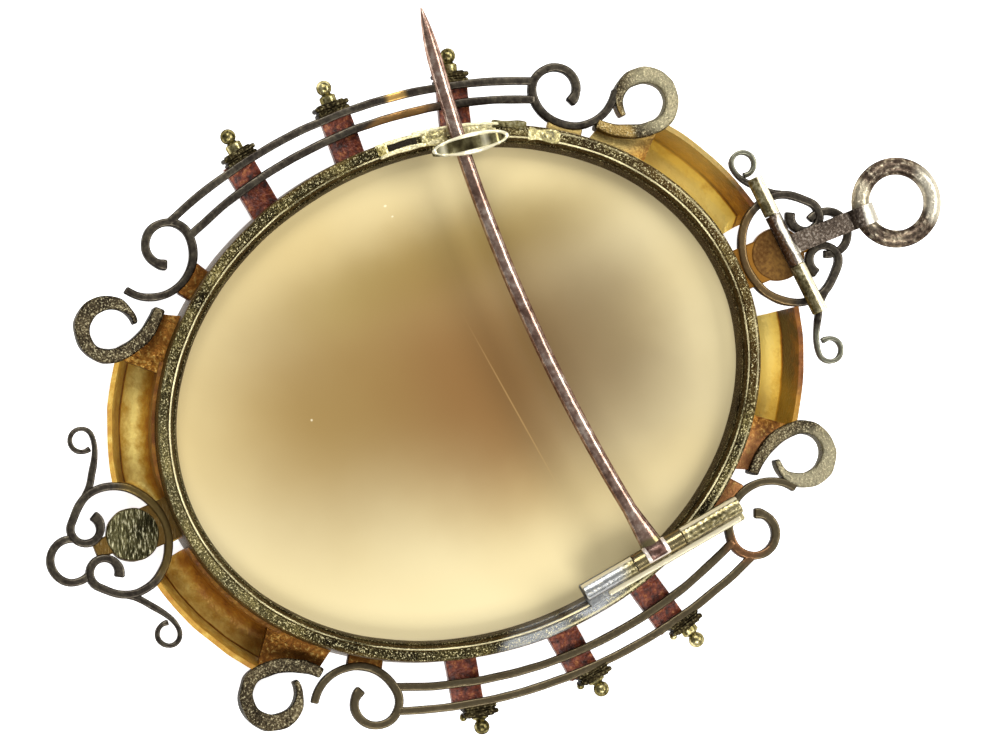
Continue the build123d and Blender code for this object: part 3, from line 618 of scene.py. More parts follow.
# Stains, and in the tables that say so painted highlights and painted shade: their middle on the
# brooch, their half sizes, how strong they are and how much of them is even before the soft edge
SOLDER_SPOTS = [
    dict(x=18.7, y=3.6, wide=1.6, long=2.4, turn=6, strength=0.85, firm=0.8, colour="#A4A7AA"),
    dict(x=20.3, y=-2.2, wide=1.3, long=2.6, turn=4, strength=0.7, firm=0.7, colour="#96999A"),
]
RIM_STAINS = SOLDER_SPOTS + [
    dict(x=-2, y=25.3, wide=17, long=4.5, strength=0.25, firm=0.8, colour="#5E431E"),
    dict(x=-14, y=18, wide=7, long=9, strength=0.22, firm=0.8, colour="#4A3620"),
    dict(x=1, y=-25, wide=10, long=4.5, strength=0.15, firm=0.8, colour="#8C8258"),
]
# The cove at -X and +Y is the brightest and the one at +X and -Y the darkest
COVE_STAINS = [
    dict(x=-20.5, y=-20.5, wide=5, long=8, strength=0.6, firm=0.7, colour="#988634"),
    dict(x=19, y=-20, wide=7, long=9, strength=0.45, firm=0.7, colour="#7E5418"),
    dict(x=-15, y=27, wide=7, long=6, strength=0.4, firm=0.7, colour="#E8CC74"),
    dict(x=11, y=22, wide=7, long=3, strength=0.3, firm=0.7, colour="#E2B840"),
]
PLATE_STAINS = [
    dict(x=-18, y=19, wide=5, long=6, strength=0.85, firm=0.9, colour="#D9C27A"),
    dict(x=-19, y=-18, wide=6, long=6, strength=0.6, firm=0.9, colour="#8A5626"),
    dict(x=19, y=18, wide=6, long=6, strength=0.7, firm=0.9, colour="#C58A5E"),
    dict(x=19, y=-20, wide=6, long=6, strength=0.7, firm=0.9, colour="#5E3A18"),
]
SCROLL_STAINS = [
    dict(x=-15.5, y=25.5, wide=3, long=2.8, strength=0.34, firm=0.7, colour="#D2C9A2"),
    dict(x=-14, y=20.2, wide=2.6, long=1.3, strength=0.5, firm=0.6, colour="#C2A25E"),
    dict(x=17.5, y=24.5, wide=3, long=3.2, strength=0.38, firm=0.7, colour="#C4BB98"),
]
RAIL_PATCHES = [
    dict(x=22, y=0, wide=7, long=36, strength=0.7, firm=0.9, colour="#675B42"),
    dict(x=-23.8, y=4.9, wide=0.8, long=0.8, strength=0.9, firm=0.6, colour="#E0B468"),
    dict(x=-22.0, y=4.4, wide=0.8, long=2.6, strength=0.8, firm=0.6, colour="#A87E48"),
    dict(x=20.5, y=16.8, wide=1.2, long=1.6, strength=0.7, firm=0.6, colour="#8A5E3E"),
]
CLUSTER_STAINS = RAIL_PATCHES + [
    dict(x=0, y=26.4, wide=6, long=1.8, strength=0.75, firm=0.7, colour="#7C6440"),
    dict(x=0, y=-26.4, wide=5, long=1.8, strength=0.75, firm=0.7, colour="#7A6434"),
    dict(x=-8.5, y=29.6, wide=1.6, long=1.6, strength=0.7, firm=0.9, colour="#8C8C78"),
    dict(x=8.5, y=29.6, wide=1.6, long=1.6, strength=0.6, firm=0.9, colour="#8C8C78"),
]
# Painted light on the bail's arm: a painted highlight at its end, one down the lit half of its knuckle, and
# painted shade down the knuckle's other half
ARM_PAINTED_LIGHT = [
    dict(x=-0.3, y=36.4, wide=1.2, long=0.5, strength=0.9, firm=0.8, colour="#E2DCCB"),
    dict(x=-0.4, y=29.6, wide=2.4, long=0.22, turn=3, strength=0.9, firm=0.9, colour="#EDE6D2"),
    dict(x=-0.4, y=28.95, wide=2.4, long=0.2, turn=3, strength=0.8, firm=0.9, colour="#5E4024"),
]
# Painted highlights on the ring's two sides
RING_PAINTED_HIGHLIGHTS = [
    dict(x=0.8, y=42.0, wide=2.4, long=1.2, strength=0.75, firm=0.6, colour="#DDD5BE"),
    dict(x=-1.2, y=36.4, wide=1.8, long=0.9, strength=0.7, firm=0.6, colour="#D2C6AA"),
]
STEM_STAINS = [
    dict(x=17.85, y=9.8, wide=1.0, long=2.5, turn=6, strength=0.9, firm=0.9, colour="#857A54"),
]
# Painted shade of the carving as it shows through the stone from the back: brown clouds where the relief is
# thick
RELIEF_PAINTED_SHADE = [
    dict(x=-2.9, y=-7.1, wide=13.9, long=16.7, strength=0.86, colour="#7C5E28"),
    dict(x=-10.3, y=3.8, wide=4.0, long=14.5, turn=-2, strength=0.93, colour="#907C47"),
    dict(x=0.4, y=2.4, wide=13.0, long=9.3, strength=0.93, colour="#7A5830"),
    dict(x=0.4, y=12.6, wide=12.9, long=8.7, strength=0.74, colour="#4C3008"),
]
# Light marks in its polish: three specks and one long hair scratch
POLISH_MARKS = [
    dict(x=-16.1, y=0.7, wide=0.1, long=0.13, strength=0.7, colour="#F4EBCB"),
    dict(x=-15.1, y=0.9, wide=0.08, long=0.1, strength=0.6, colour="#F4EBCB"),
    dict(x=-2.7, y=-11.6, wide=0.1, long=0.1, strength=0.6, colour="#F4EBCB"),
    dict(x=2.7, y=3.8, wide=6.9, long=0.07, turn=5.8, strength=0.35, colour="#C9A468"),
]


def filed_rim_gold():
    """The bezel's gold rim, filed flat by hand and never polished.

    The file left pits that hold dark tarnish, and the grains between them glint. The real
    grain is near 0.05 mm and is drawn coarser so that it shows.
    """
    return worn_gold(
        "filed_rim_gold", ("#100D08", "#38321D", "#74693F"), "#5C4620", "#E6DAAA",
        grain=0.13, pits=0.09, rough=0.34, flecks=0.6, stains_and_painted_light=RIM_STAINS,
    )


def cast_scroll_gold():
    """Gold cast in sand and left in its skin: dark, pitted and rubbed pale on a few crests.

    Sand leaves a grain of about 0.08 mm, drawn coarser so that it shows.
    """
    return worn_gold(
        "cast_scroll_gold", ("#1C1812", "#453C2C", "#786C50"), "#30261A", "#DAD0A8",
        grain=0.15, pits=0.1, rough=0.34, flecks=0.42, stains_and_painted_light=SCROLL_STAINS,
    )


def cast_cap_gold():
    """Small gold castings between column and finial, little handled, so their tarnish is deep."""
    return worn_gold(
        "cast_cap_gold", ("#17130A", "#362E1C", "#5E5436"), "#241C10", "#D8CC9C",
        grain=0.2, pits=0.06, rough=0.36, flecks=0.2,
    )


def drawn_wire_gold(name, stains_and_painted_light):
    """Gold wire, drawn and bent: smooth, with an even brown grey tarnish and patches of solder heat."""
    return worn_gold(
        name, ("#38322C", "#4A443B", "#5F584A"), "#3A2C20", "#E0D4A8",
        grain=0.4, pits=0.04, rough=0.34, stains_and_painted_light=stains_and_painted_light,
    )


def turned_finial_gold():
    """Gold turned on a lathe and rubbed by cloth: bright, smooth rounds with some tarnish left."""
    return worn_gold(
        "turned_finial_gold", ("#3C361E", "#7C7248", "#CDC190"), "#3E3418", "#F4ECD2",
        grain=0.35, pits=0.03, rough=0.28,
    )


def hinge_tube_gold():
    """Drawn gold tube with a painted highlight down one side and painted shade on the other, from the hinge's
    tones, and grey where solder ran over it.
    """
    return worn_gold(
        "hinge_tube_gold", ("#4E462A", "#857A56", "#BDB288"), "#4A3A28", "#F2E8C6",
        grain=0.3, pits=0.04, rough=0.3, flecks=0.3, stains_and_painted_light=SOLDER_SPOTS,
    )


def scraped_catch_gold():
    """Gold sheet scraped clean after soldering: bright, ragged and dark in its hollows."""
    return worn_gold(
        "scraped_catch_gold", ("#332C14", "#A6985C", "#E6DCA6"), "#26221A", "#F8EFC2",
        grain=0.3, pits=0.12, rough=0.3, flecks=0.5,
    )


def burnished_catch_gold():
    """Gold sheet burnished by years of wear: glossy, with broad soft tarnish, and with bright and dark bands
    down its dish, from the strip's tones, that are painted reflections and painted shade.
    """
    return worn_gold(
        "burnished_catch_gold", ("#4A4228", "#8E845A", "#CFC594"), "#2A2416", "#FAF2D0",
        grain=0.8, pits=0.02, rough=0.2,
    )


def stained_plate_gold():
    """Rolled gold sheet that took the solder's heat: brown to copper stains that hide its metal."""
    return worn_gold(
        "stained_plate_gold", ("#4E2E12", "#8A5C22", "#C89A48"), "#5A3818", "#E6C97A",
        grain=0.3, pits=0.08, rough=0.38, metal=0.5, flecks=0.3, stains_and_painted_light=PLATE_STAINS,
    )


def filed_boss_gold():
    """Cast gold filed flat: fine marks one way, dark between. They are drawn coarser so that they show."""
    return worn_gold(
        "filed_boss_gold", ("#1E1C10", "#4E4A30", "#8C8660"), "#6A5026", "#E6DEB8",
        grain=0.13, pits=0.1, rough=0.32, flecks=0.6, filed=-23.5,
    )


def boss_gold_in_painted_shade():
    """Cast gold under the bail's hinge: an even, dull brown that is painted shade of the tube above it, and
    hardly metallic.
    """
    return worn_gold(
        "boss_gold_in_painted_shade", ("#583A1C", "#6E4E2A", "#866232"), "#8E6226", "#D8B068",
        grain=0.3, pits=0.04, rough=0.38, metal=0.5,
    )


def drawn_rose_gold():
    """Rose gold wire, drawn, then rubbed bright by cloth: pink, glossy and faintly mottled."""
    return worn_gold(
        "drawn_rose_gold", ("#7E6254", "#AA8C7C", "#D6C2B2"), "#6A4A40", "#F2E2D6",
        grain=0.6, pits=0.03, rough=0.24, stains_and_painted_light=STEM_STAINS, toned=False,
    )


def beaten_rose_gold():
    """Rose gold beaten flat over the knuckle: browner than the stem, pale on its edge."""
    return worn_gold(
        "beaten_rose_gold", ("#5E443C", "#8A6C60", "#C0A294"), "#3A2620", "#F6EADC",
        grain=0.3, pits=0.05, rough=0.3,
    )


def hammered_ring_gold():
    """Gold wire hammered to a ring: soft dents, brown tarnish and two pale spots on its sides that are
    painted highlights.
    """
    return worn_gold(
        "hammered_ring_gold", ("#3A3029", "#5E5144", "#93836C"), "#4E4032", "#F4ECD0",
        grain=0.4, pits=0.08, rough=0.36, flecks=0.2, stains_and_painted_light=RING_PAINTED_HIGHLIGHTS, toned=False,
    )


def rough_arm_gold():
    """Gold plate cut and left rough: grey brown, with a painted highlight and painted shade along its knuckle
    and a painted highlight at its end.
    """
    return worn_gold(
        "rough_arm_gold", ("#3C342D", "#605449", "#8E8274"), "#3A2C26", "#E0D8CC",
        grain=0.2, pits=0.06, rough=0.34, flecks=0.15, stains_and_painted_light=ARM_PAINTED_LIGHT, toned=False,
    )


def rivet_gold():
    """Gold wire hammered over at its ends, which the cloth keeps bright."""
    return worn_gold(
        "rivet_gold", ("#6A604A", "#A29878", "#D8CEB0"), "#4A3A28", "#F2E8C6",
        grain=0.4, pits=0.03, rough=0.3, toned=False,
    )


def pressed_cove_gold():
    """Gold sheet pressed in a die, gilt yellow in its bottom, which is brightened by a painted reflection of
    the white surroundings, and burnt brown at its outer wall.
    """
    finish, tree, shader = new_finish("pressed_cove_gold")
    place = add(tree, "ShaderNodeTexCoord").outputs["Object"]
    tone = add(tree, "ShaderNodeAttribute", {"attribute_name": "tone"}).outputs["Fac"]
    blotch = add(tree, "ShaderNodeTexNoise", inputs={
        "Vector": place, "Scale": per_mm(0.9), "Detail": 7.0, "Roughness": 0.65,
    })
    spread = add(tree, "ShaderNodeMath", {"operation": "MULTIPLY_ADD"}, {
        0: blotch.outputs["Fac"], 1: 0.8, 2: -0.4,
    })
    where = add(tree, "ShaderNodeMath", {"operation": "ADD"}, {0: tone, 1: spread.outputs[0]})
    skin = add(
        tree, "ShaderNodeValToRGB", inputs={"Fac": where.outputs[0]},
        stops=[(0.0, "#3A200C"), (0.2, "#784616"), (0.4, "#A26C20"), (0.6, "#BE9438"), (0.85, "#E8D074")],
    )
    colour = skin.outputs["Color"]
    for spot in COVE_STAINS:
        colour = stain_and_painted_light(tree, place, colour, spot)
    grit = add(tree, "ShaderNodeTexNoise", inputs={"Vector": place, "Scale": per_mm(0.25), "Detail": 3.0})
    surfaced(tree, shader, colour, grit.outputs["Fac"], 0.06)
    shader.inputs["Metallic"].default_value = 0.3
    shader.inputs["Roughness"].default_value = 0.42
    return finish


def heat_stained_sheet():
    """Gold sheet that solder heat turned red brown, nearly matt inside the hollow columns."""
    finish, tree, shader = new_finish("heat_stained_sheet")
    place = add(tree, "ShaderNodeTexCoord").outputs["Object"]
    blotch = add(tree, "ShaderNodeTexNoise", inputs={
        "Vector": place, "Scale": per_mm(0.6), "Detail": 6.0, "Roughness": 0.7,
    })
    skin = add(
        tree, "ShaderNodeValToRGB", inputs={"Fac": blotch.outputs["Fac"]},
        stops=[(0.36, "#260C04"), (0.46, "#54200C"), (0.55, "#722E12"), (0.68, "#AC6C3A")],
    )
    grit = add(tree, "ShaderNodeTexNoise", inputs={"Vector": place, "Scale": per_mm(0.2), "Detail": 3.0})
    surfaced(tree, shader, skin.outputs["Color"], grit.outputs["Fac"], 0.08)
    shader.inputs["Metallic"].default_value = 0.2
    shader.inputs["Roughness"].default_value = 0.45
    return finish


def polished_banded_hardstone():
    """Agate cut across its bands and polished: glassy, cream with brown clouds that fade softly.

    The brown clouds on the back are painted shade of the carving seen through the stone. Below the
    girdle is the brown layer that is the field of the carving, and the figure stands in the cream
    layer in front of it.
    """
    finish, tree, shader = new_finish("polished_banded_hardstone")
    place = add(tree, "ShaderNodeTexCoord").outputs["Object"]
    drift = add(tree, "ShaderNodeTexNoise", inputs={"Vector": place, "Scale": per_mm(8.0), "Detail": 3.0})
    shift = add(tree, "ShaderNodeVectorMath", {"operation": "SCALE"}, {
        0: drift.outputs["Color"], "Scale": 2.4 * MM,
    })
    moved = add(tree, "ShaderNodeVectorMath", {"operation": "ADD"}, {0: place, 1: shift.outputs[0]})
    even = add(tree, "ShaderNodeVectorMath", {"operation": "SUBTRACT"}, {
        0: moved.outputs[0], 1: (1.2 * MM, 1.2 * MM, 0),
    })
    band = add(tree, "ShaderNodeTexNoise", inputs={"Vector": place, "Scale": per_mm(14.0), "Detail": 1.0})
    cream = add(
        tree, "ShaderNodeValToRGB", inputs={"Fac": band.outputs["Fac"]},
        stops=[(0.3, "#D0BD89"), (0.7, "#D4C69B")],
    )
    colour = cream.outputs["Color"]
    for shade_cloud in RELIEF_PAINTED_SHADE:
        colour = stain_and_painted_light(tree, even.outputs[0], colour, shade_cloud)
    for mark in POLISH_MARKS:
        colour = stain_and_painted_light(tree, place, colour, mark)
    height = add(tree, "ShaderNodeSeparateXYZ", inputs={"Vector": place}).outputs["Z"]
    back = add(tree, "ShaderNodeMapRange", inputs={
        "Value": height, "From Min": (GIRDLE_Z + 0.1) * MM, "From Max": (GIRDLE_Z + 0.4) * MM,
    })
    field = add(tree, "ShaderNodeMapRange", inputs={
        "Value": height, "From Min": (FIELD_Z - 0.4) * MM, "From Max": (FIELD_Z - 0.05) * MM,
    })
    carved = add(tree, "ShaderNodeMix", COLOURS, {
        SHARE: field.outputs[0], UNDER: linear("#EFE0C2"), OVER: linear("#7C4A24"),
    })
    whole = add(tree, "ShaderNodeMix", COLOURS, {
        SHARE: back.outputs[0], UNDER: carved.outputs[MIXED], OVER: colour,
    })
    tree.links.new(whole.outputs[MIXED], shader.inputs["Base Color"])
    shader.inputs["Roughness"].default_value = 0.12
    shader.inputs["IOR"].default_value = 1.54
    return finish


def white_card():
    """Matt white card, lit up so that it stays even under the brooch."""
    finish, _, shader = new_finish("white_card")
    shader.inputs["Base Color"].default_value = linear("#F2F2F0")
    shader.inputs["Roughness"].default_value = 0.9
    shader.inputs["Emission Color"].default_value = linear("#FFFFFF")
    shader.inputs["Emission Strength"].default_value = 0.9
    return finish


# The carving's forms: name, middle and half sizes as shares of the bust's height, tilt, how
# far the form rises as a share of the whole rise, and how it is cut. It is of generic design.
RELIEF = [
    ("skull", 0.0, 0.235, 0.18, 0.185, 0, 0.7, None),
    ("brow", -0.118, 0.288, 0.076, 0.08, 0, 0.6, None),
    ("cheek", -0.095, 0.19, 0.1, 0.15, 0, 0.64, None),
    ("nose", -0.19, 0.215, 0.058, 0.026, 52, 0.46, None),
    ("nostril", -0.187, 0.178, 0.03, 0.02, 0, 0.5, None),
    ("upper lip", -0.18, 0.148, 0.03, 0.017, 8, 0.5, None),
    ("lower lip", -0.174, 0.124, 0.029, 0.018, -4, 0.5, None),
    ("chin", -0.15, 0.078, 0.048, 0.042, 0, 0.54, None),
    ("jaw", -0.07, 0.085, 0.1, 0.06, 20, 0.6, None),
    ("neck", 0.02, -0.03, 0.082, 0.2, 6, 0.54, None),
    ("breast", -0.1, -0.27, 0.19, 0.125, 24, 0.7, None),
    ("shoulder", 0.14, -0.255, 0.175, 0.125, -32, 0.66, None),
    ("drapery", -0.07, -0.345, 0.24, 0.06, 14, 0.95, "fold"),
    ("back fold", 0.19, -0.31, 0.13, 0.07, -22, 0.88, "fold"),
    ("hem", 0.06, -0.395, 0.21, 0.045, -4, 0.9, "fold"),
    ("front wave", -0.02, 0.37, 0.15, 0.075, -20, 0.9, "hair"),
    ("crown", 0.085, 0.36, 0.14, 0.075, -42, 0.94, "hair"),
    ("side wave", 0.035, 0.29, 0.13, 0.062, -36, 0.86, "hair"),
    ("ear wave", 0.08, 0.205, 0.07, 0.1, 16, 0.9, "hair"),
    ("hair knot", 0.215, 0.225, 0.085, 0.08, 0, 1.0, "knot"),
    ("ringlet", 0.14, 0.03, 0.034, 0.13, 12, 0.72, "twist"),
]
# The higher this power, the sharper the valleys where two forms meet
RELIEF_BLEND = 7
RELIEF_ROOM = 0.02


def cut_depth(cut, along, across):
    """How deep the carver's cuts are: waves of hair, a coiled knot, a twisted ringlet or folds."""
    if cut == "hair":
        return 0.09 * (1 + np.sin(across * 6.5 + 0.5 * np.sin(along * 1.3)))
    if cut == "knot":
        return 0.1 * (1 + np.sin(np.hypot(along, across) * 5.5 + np.arctan2(across, along)))
    if cut == "twist":
        return 0.09 * (1 + np.sin(across * 4 + along * 5))
    if cut == "fold":
        return 0.12 * (1 + np.sin(across * 3.2 + 0.8 * np.sin(along * 0.7)))
    return 0.0


def relief(x, y):
    """How far the carving stands out of the field."""
    total = np.zeros_like(x)
    for row in RELIEF:
        middle_x, middle_y, half_x, half_y, tilt, rise, cut = row[1:]
        c, s = math.cos(math.radians(tilt)), math.sin(math.radians(tilt))
        dx, dy = x - middle_x * BUST_HEIGHT, y - middle_y * BUST_HEIGHT
        along, across = dx * c + dy * s, dy * c - dx * s
        reach = (along / (half_x * BUST_HEIGHT)) ** 2 + (across / (half_y * BUST_HEIGHT)) ** 2
        inside = np.clip(1 - reach, 0, 1)
        height = rise * RELIEF_RISE * np.sqrt(inside)
        height -= np.clip(inside * 4, 0, 1) * cut_depth(cut, along, across)
        total += np.clip(height, 0, None) ** RELIEF_BLEND
    return np.clip(total ** (1 / RELIEF_BLEND), 0, RELIEF_RISE - RELIEF_ROOM)


def round_grid(count):
    """A square grid of points drawn out to a round one of radius 1."""
    line = np.linspace(-1, 1, count)
    a, b = np.meshgrid(line, line, indexing="ij")
    wide = a**2 > b**2
    radius = np.where(wide, a, b)
    with np.errstate(divide="ignore", invalid="ignore"):
        angle = np.where(wide, math.pi / 4 * b / a, math.pi / 2 - math.pi / 4 * a / b)
    angle = np.nan_to_num(angle)
    return radius * np.cos(angle), radius * np.sin(angle)


def grid_edge(count):
    """The places round the edge of a square grid."""
    last = count - 1
    return (
        [(0, j) for j in range(last)] + [(i, last) for i in range(last)]
        + [(last, j) for j in range(last, 0, -1)] + [(i, 0) for i in range(last, 0, -1)]
    )


def stone():
    """The cameo, one closed mesh: flat polished back, ledge under the lip and carved front."""
    count = RELIEF_GRID
    unit_x, unit_y = round_grid(count)
    inset = LEDGE + FIELD_BEVEL
    x, y = unit_x * (HALF_X - inset), unit_y * (HALF_Y - inset)
    z = FIELD_Z - relief(x, y)
    shape = Work()
    shape.points = [np.column_stack([x.ravel(), y.ravel(), z.ravel()])]
    for i in range(count - 1):
        for j in range(count - 1):
            k = i * count + j
            shape.faces.append((k, k + 1, k + count + 1, k + count))
    edge = grid_edge(count)
    before = [i * count + j for i, j in edge]
    unit = np.array([(unit_x[i, j], unit_y[i, j]) for i, j in edge])
    total = count * count
    side = BEZEL_WALL + STONE_GAP
    for draw, height in (
        (LEDGE, GIRDLE_Z), (side, GIRDLE_Z), (side, STONE_BACK_Z - STONE_BEVEL),
        (side + STONE_BEVEL, STONE_BACK_Z), (side + 2 * STONE_BEVEL, STONE_BACK_Z),
    ):
        across, up = unit[:, 0] * (HALF_X - draw), unit[:, 1] * (HALF_Y - draw)
        shape.points.append(np.column_stack([across, up, np.full(len(unit), height)]))
        here = list(range(total, total + len(unit)))
        for j in range(len(unit)):
            k = (j + 1) % len(unit)
            shape.faces.append((before[j], before[k], here[k], here[j]))
        before = here
        total += len(unit)
    shape.faces.append(tuple(before))
    shape.tones = [np.full(total, 0.5)]
    return shape


# The bezel's section: distance outside its oval, height and tone. The outer wall's tone of 0
# paints it dark as painted shade. A thread is filed at the rim's inner edge, above the dark step
# down to the stone, and its pale tones are a painted highlight.
BEZEL_SECTION = [
    (-0.2, 0, 0.0), (-0.06, 0.06, 0.0), (0, 0.2, 0.0), (0, RIM_Z - 0.2, 0.0), (-0.05, RIM_Z - 0.06, 0.3),
    (-0.2, RIM_Z, 0.5), (-0.45, RIM_Z, 0.5), (-0.78, RIM_Z, 0.5), (-0.86, RIM_Z - 0.07, 0.2),
    (-0.93, RIM_Z, 0.9), (-1.02, RIM_Z, 0.95), (-1.1, RIM_Z - 0.06, 0.3), (-1.14, RIM_Z - 0.25, 0.15),
    (-1.34, RIM_Z - 0.5, 0.3), (-1.4, RIM_Z - 0.44, 0.5), (-1.48, RIM_Z - 0.5, 0.35),
    (-1.55, RIM_Z - 0.8, 0.3), (-SEAT_COVER + 0.06, SEAT_Z + 0.5, 0.25),
    (-SEAT_COVER, SEAT_Z + 0.12, 0.1), (-SEAT_COVER, SEAT_Z, 0.1),
    (-BEZEL_WALL, SEAT_Z, 0.3), (-BEZEL_WALL, LIP_Z, 0.3), (-LIP_COVER, LIP_Z, 0.3),
    (-LIP_COVER, LIP_Z - 0.4, 0.3), (-0.65, 0, 0.3),
]
OUTER_CREST = 5
THREAD = slice(9, 11)


def bezel_work():
    """The bezel, with an uneven painted highlight along its thread, and worn on its outer edge most between
    +X and +Y.
    """
    angles = np.radians(np.linspace(0, 360, BEZEL_FACETS, endpoint=False))
    rings = []
    for turn in angles:
        c, s = math.cos(turn), math.sin(turn)
        rings.append([((HALF_X + off) * c, (HALF_Y + off) * s, up) for off, up, _ in BEZEL_SECTION])
    tones = np.tile([tone for _, _, tone in BEZEL_SECTION], (len(angles), 1))
    # The thread's tones, a painted highlight, rise and fall along the rim, and the outer edge's wear follows
    # the same unevenness
    wear_and_highlight = 0.1 * np.sin(3 * angles + 1) + 0.07 * np.sin(11 * angles) + 0.05 * np.sin(29 * angles)
    tones[:, THREAD] += wear_and_highlight[:, None] - 0.12
    tones[:, OUTER_CREST] += 0.3 * np.clip(np.cos(angles - 1.0), 0, 1) + wear_and_highlight
    work = Work()
    work.add(rings, closed=True, tones=tones)
    return work


def cluster_clear(angle):
    """How far outside the bezel a cove may stand before it meets a cluster's ring."""
    turn = math.radians(angle)
    for off in np.arange(0.75, COVE_WIDTH, 0.05):
        x, y = (HALF_X + off) * math.cos(turn), (HALF_Y + off) * math.sin(turn)
        if (x / CLUSTER_SIDE) ** 2 + ((y - CLUSTER_Y) / CLUSTER_RADIUS) ** 2 < 1:
            return off
    return COVE_WIDTH


def cove_skin(draw):
    """The section of a cove's sheet, drawn in by a distance: distance outside the bezel and height."""
    back = WORK_Z - SET_BACK
    inner, outer, low = -SOLDER + draw, COVE_WIDTH - draw, COVE_FRONT + draw
    foot = outer - COVE_FLARE
    flank = low + (back - COVE_FRONT) * COVE_FLANK
    middle, half = (inner + foot) / 2, (foot - inner) / 2
    bottom = []
    for turn in np.linspace(0, math.pi, COVE_ARC_STEPS + 1):
        bottom.append((middle - half * math.cos(turn), flank - (flank - low) * math.sin(turn)))
    return [(inner, back)] + bottom + [(outer, back)]


def cove_tones(row, count):
    """A cove's tones round its section, for a number of points on each side of its sheet."""
    edge, high, low = row["wall"]
    floor = np.interp(np.linspace(0, 1, count - 5), [0, 0.45, 1], row["floor"])
    outside = [0.32] * (count - 1)
    crease = 0.05
    return np.array([*outside, edge, edge, high, low, crease, *floor[1:], row["lip"], row["lip"]])


def cove_work():
    """Four hollow mouldings between the thick scrolls and the clusters, drawn in beside the rings."""
    work = Work()
    outside, inside = cove_skin(0), cove_skin(COVE_SHEET)[::-1]
    for row in COVES:
        rings = []
        for angle in np.linspace(row["start"] - 1.5, row["end"], int(row["end"] - row["start"]) + 8):
            turn = math.radians(angle)
            squeeze = (cluster_clear(angle) + SOLDER) / (COVE_WIDTH + SOLDER)
            ring = []
            for off, up in outside + inside:
                drawn = (off + SOLDER) * squeeze - SOLDER
                ring.append(((HALF_X + drawn) * math.cos(turn), (HALF_Y + drawn) * math.sin(turn), up))
            rings.append(ring)
        work.add(flipped(np.array(rings), row["side"]), tones=cove_tones(row, len(outside))[None, :])
    return work


def thin_centre(row):
    return oval(row["thin_off"], row["thin_angle"], 0, 1)[0]


def thick_centre(row):
    return oval(row["thick_off"], row["thick_angle"], 0, 1)[0]


def tail_centre(row):
    return thick_centre(row) + (TAIL_RADIUS - THICK_RADIUS, 0)


def thin_scroll_work():
    """Thin C scrolls, each a curl that opens into a wide sweep. The curl's tip is a little thicker."""
    work = Work()
    section = bar(THIN_WIRE, WORK_Z - WORK_DEPTH, WORK_Z, THIN_EDGE)
    for row in CORNERS:
        centre = thin_centre(row)
        bottom = at(centre, THIN_RADIUS, -90)
        sweep_centre = (bottom[0], bottom[1] + SWEEP_RADIUS)
        curl = arc(centre, THIN_RADIUS, -90 + THIN_TURN, -THIN_TURN)
        draw = THIN_CLOSE * np.linspace(1, 0, len(curl))[:, None] ** 2
        curl = centre + (curl - centre) * (1 - draw)
        opening = arc(sweep_centre, SWEEP_RADIUS, 270, -(270 - SWEEP_START))
        path = joined(curl, opening)
        run = np.linspace(0, 1, len(path))
        share = np.interp(run, [0, 0.02, 0.06, 0.5, 1], [1.25, 1.3, 1.0, 1.0, 0.9])
        work.add(flipped(swept(path, section, share), row["side"]))
    return work


def thick_part(centre, radius, angles, shares):
    """A stretch of a thick scroll and how wide it is along it."""
    path = arc(centre, radius, angles[0], angles[-1] - angles[0])
    return path, np.interp(np.linspace(angles[0], angles[-1], len(path)), angles, shares)


def thick_scroll_work():
    """Thick C scrolls: thin at the curled tip, full at the back and lighter in the tail."""
    work = Work()
    section = bar(1.0, WORK_Z - THICK_DEPTH, WORK_Z + THICK_PROUD, THICK_EDGE, 4)
    for row in CORNERS:
        hook, hook_share = thick_part(thick_centre(row), THICK_RADIUS, HOOK_ANGLES, HOOK_SHARES)
        tail, tail_share = thick_part(tail_centre(row), TAIL_RADIUS, TAIL_ANGLES, TAIL_SHARES)
        share = THICK_WIDTH * np.concatenate([hook_share, tail_share[1:]])
        work.add(flipped(swept(joined(hook, tail), section, share), row["side"]))
    return work


def corner_plate_work():
    """Sunk plates between the tails and the bezel, and the short feet of the thin scrolls."""
    work = Work()
    high = WORK_Z - PLATE_DROP
    low = high - PLATE_THICK
    for row in CORNERS:
        tail = arc(tail_centre(row), TAIL_RADIUS, PLATE_START, PLATE_TURN)
        near = row["thick_angle"] - PLATE_NEAR
        edge = oval(-SOLDER, PLATE_FAR, near - PLATE_FAR, len(tail))
        rings = []
        for a, b in zip(tail, edge):
            top = [(share, high - PLATE_SAG * math.sin(math.pi * share)) for share in np.linspace(0, 1, 9)]
            rings.append([(*(a + (b - a) * share), up) for share, up in top] + [(*b, low), (*a, low)])
        work.add(flipped(np.array(rings), row["side"]), tones=0.35)
        width = row["thin_off"] - FOOT_SHORT
        foot = oval(width / 2 - SOLDER, row["thin_angle"] + FOOT_SHIFT, FOOT_TURN)
        section = bar(width, WORK_Z - WORK_DEPTH + SET_BACK, WORK_Z - SET_BACK, THIN_EDGE)
        work.add(flipped(swept(foot, section), row["side"]), tones=0.3)
    return work


def circle_through(a, b, c):
    """Centre and radius of the circle through three points."""
    (ax, ay), (bx, by), (cx, cy) = a, b, c
    d = 2 * (ax * (by - cy) + bx * (cy - ay) + cx * (ay - by))
    x = ((ax**2 + ay**2) * (by - cy) + (bx**2 + by**2) * (cy - ay) + (cx**2 + cy**2) * (ay - by)) / d
    y = ((ax**2 + ay**2) * (cx - bx) + (bx**2 + by**2) * (ax - cx) + (cx**2 + cy**2) * (bx - ax)) / d
    return np.array([x, y]), math.hypot(ax - x, ay - y)


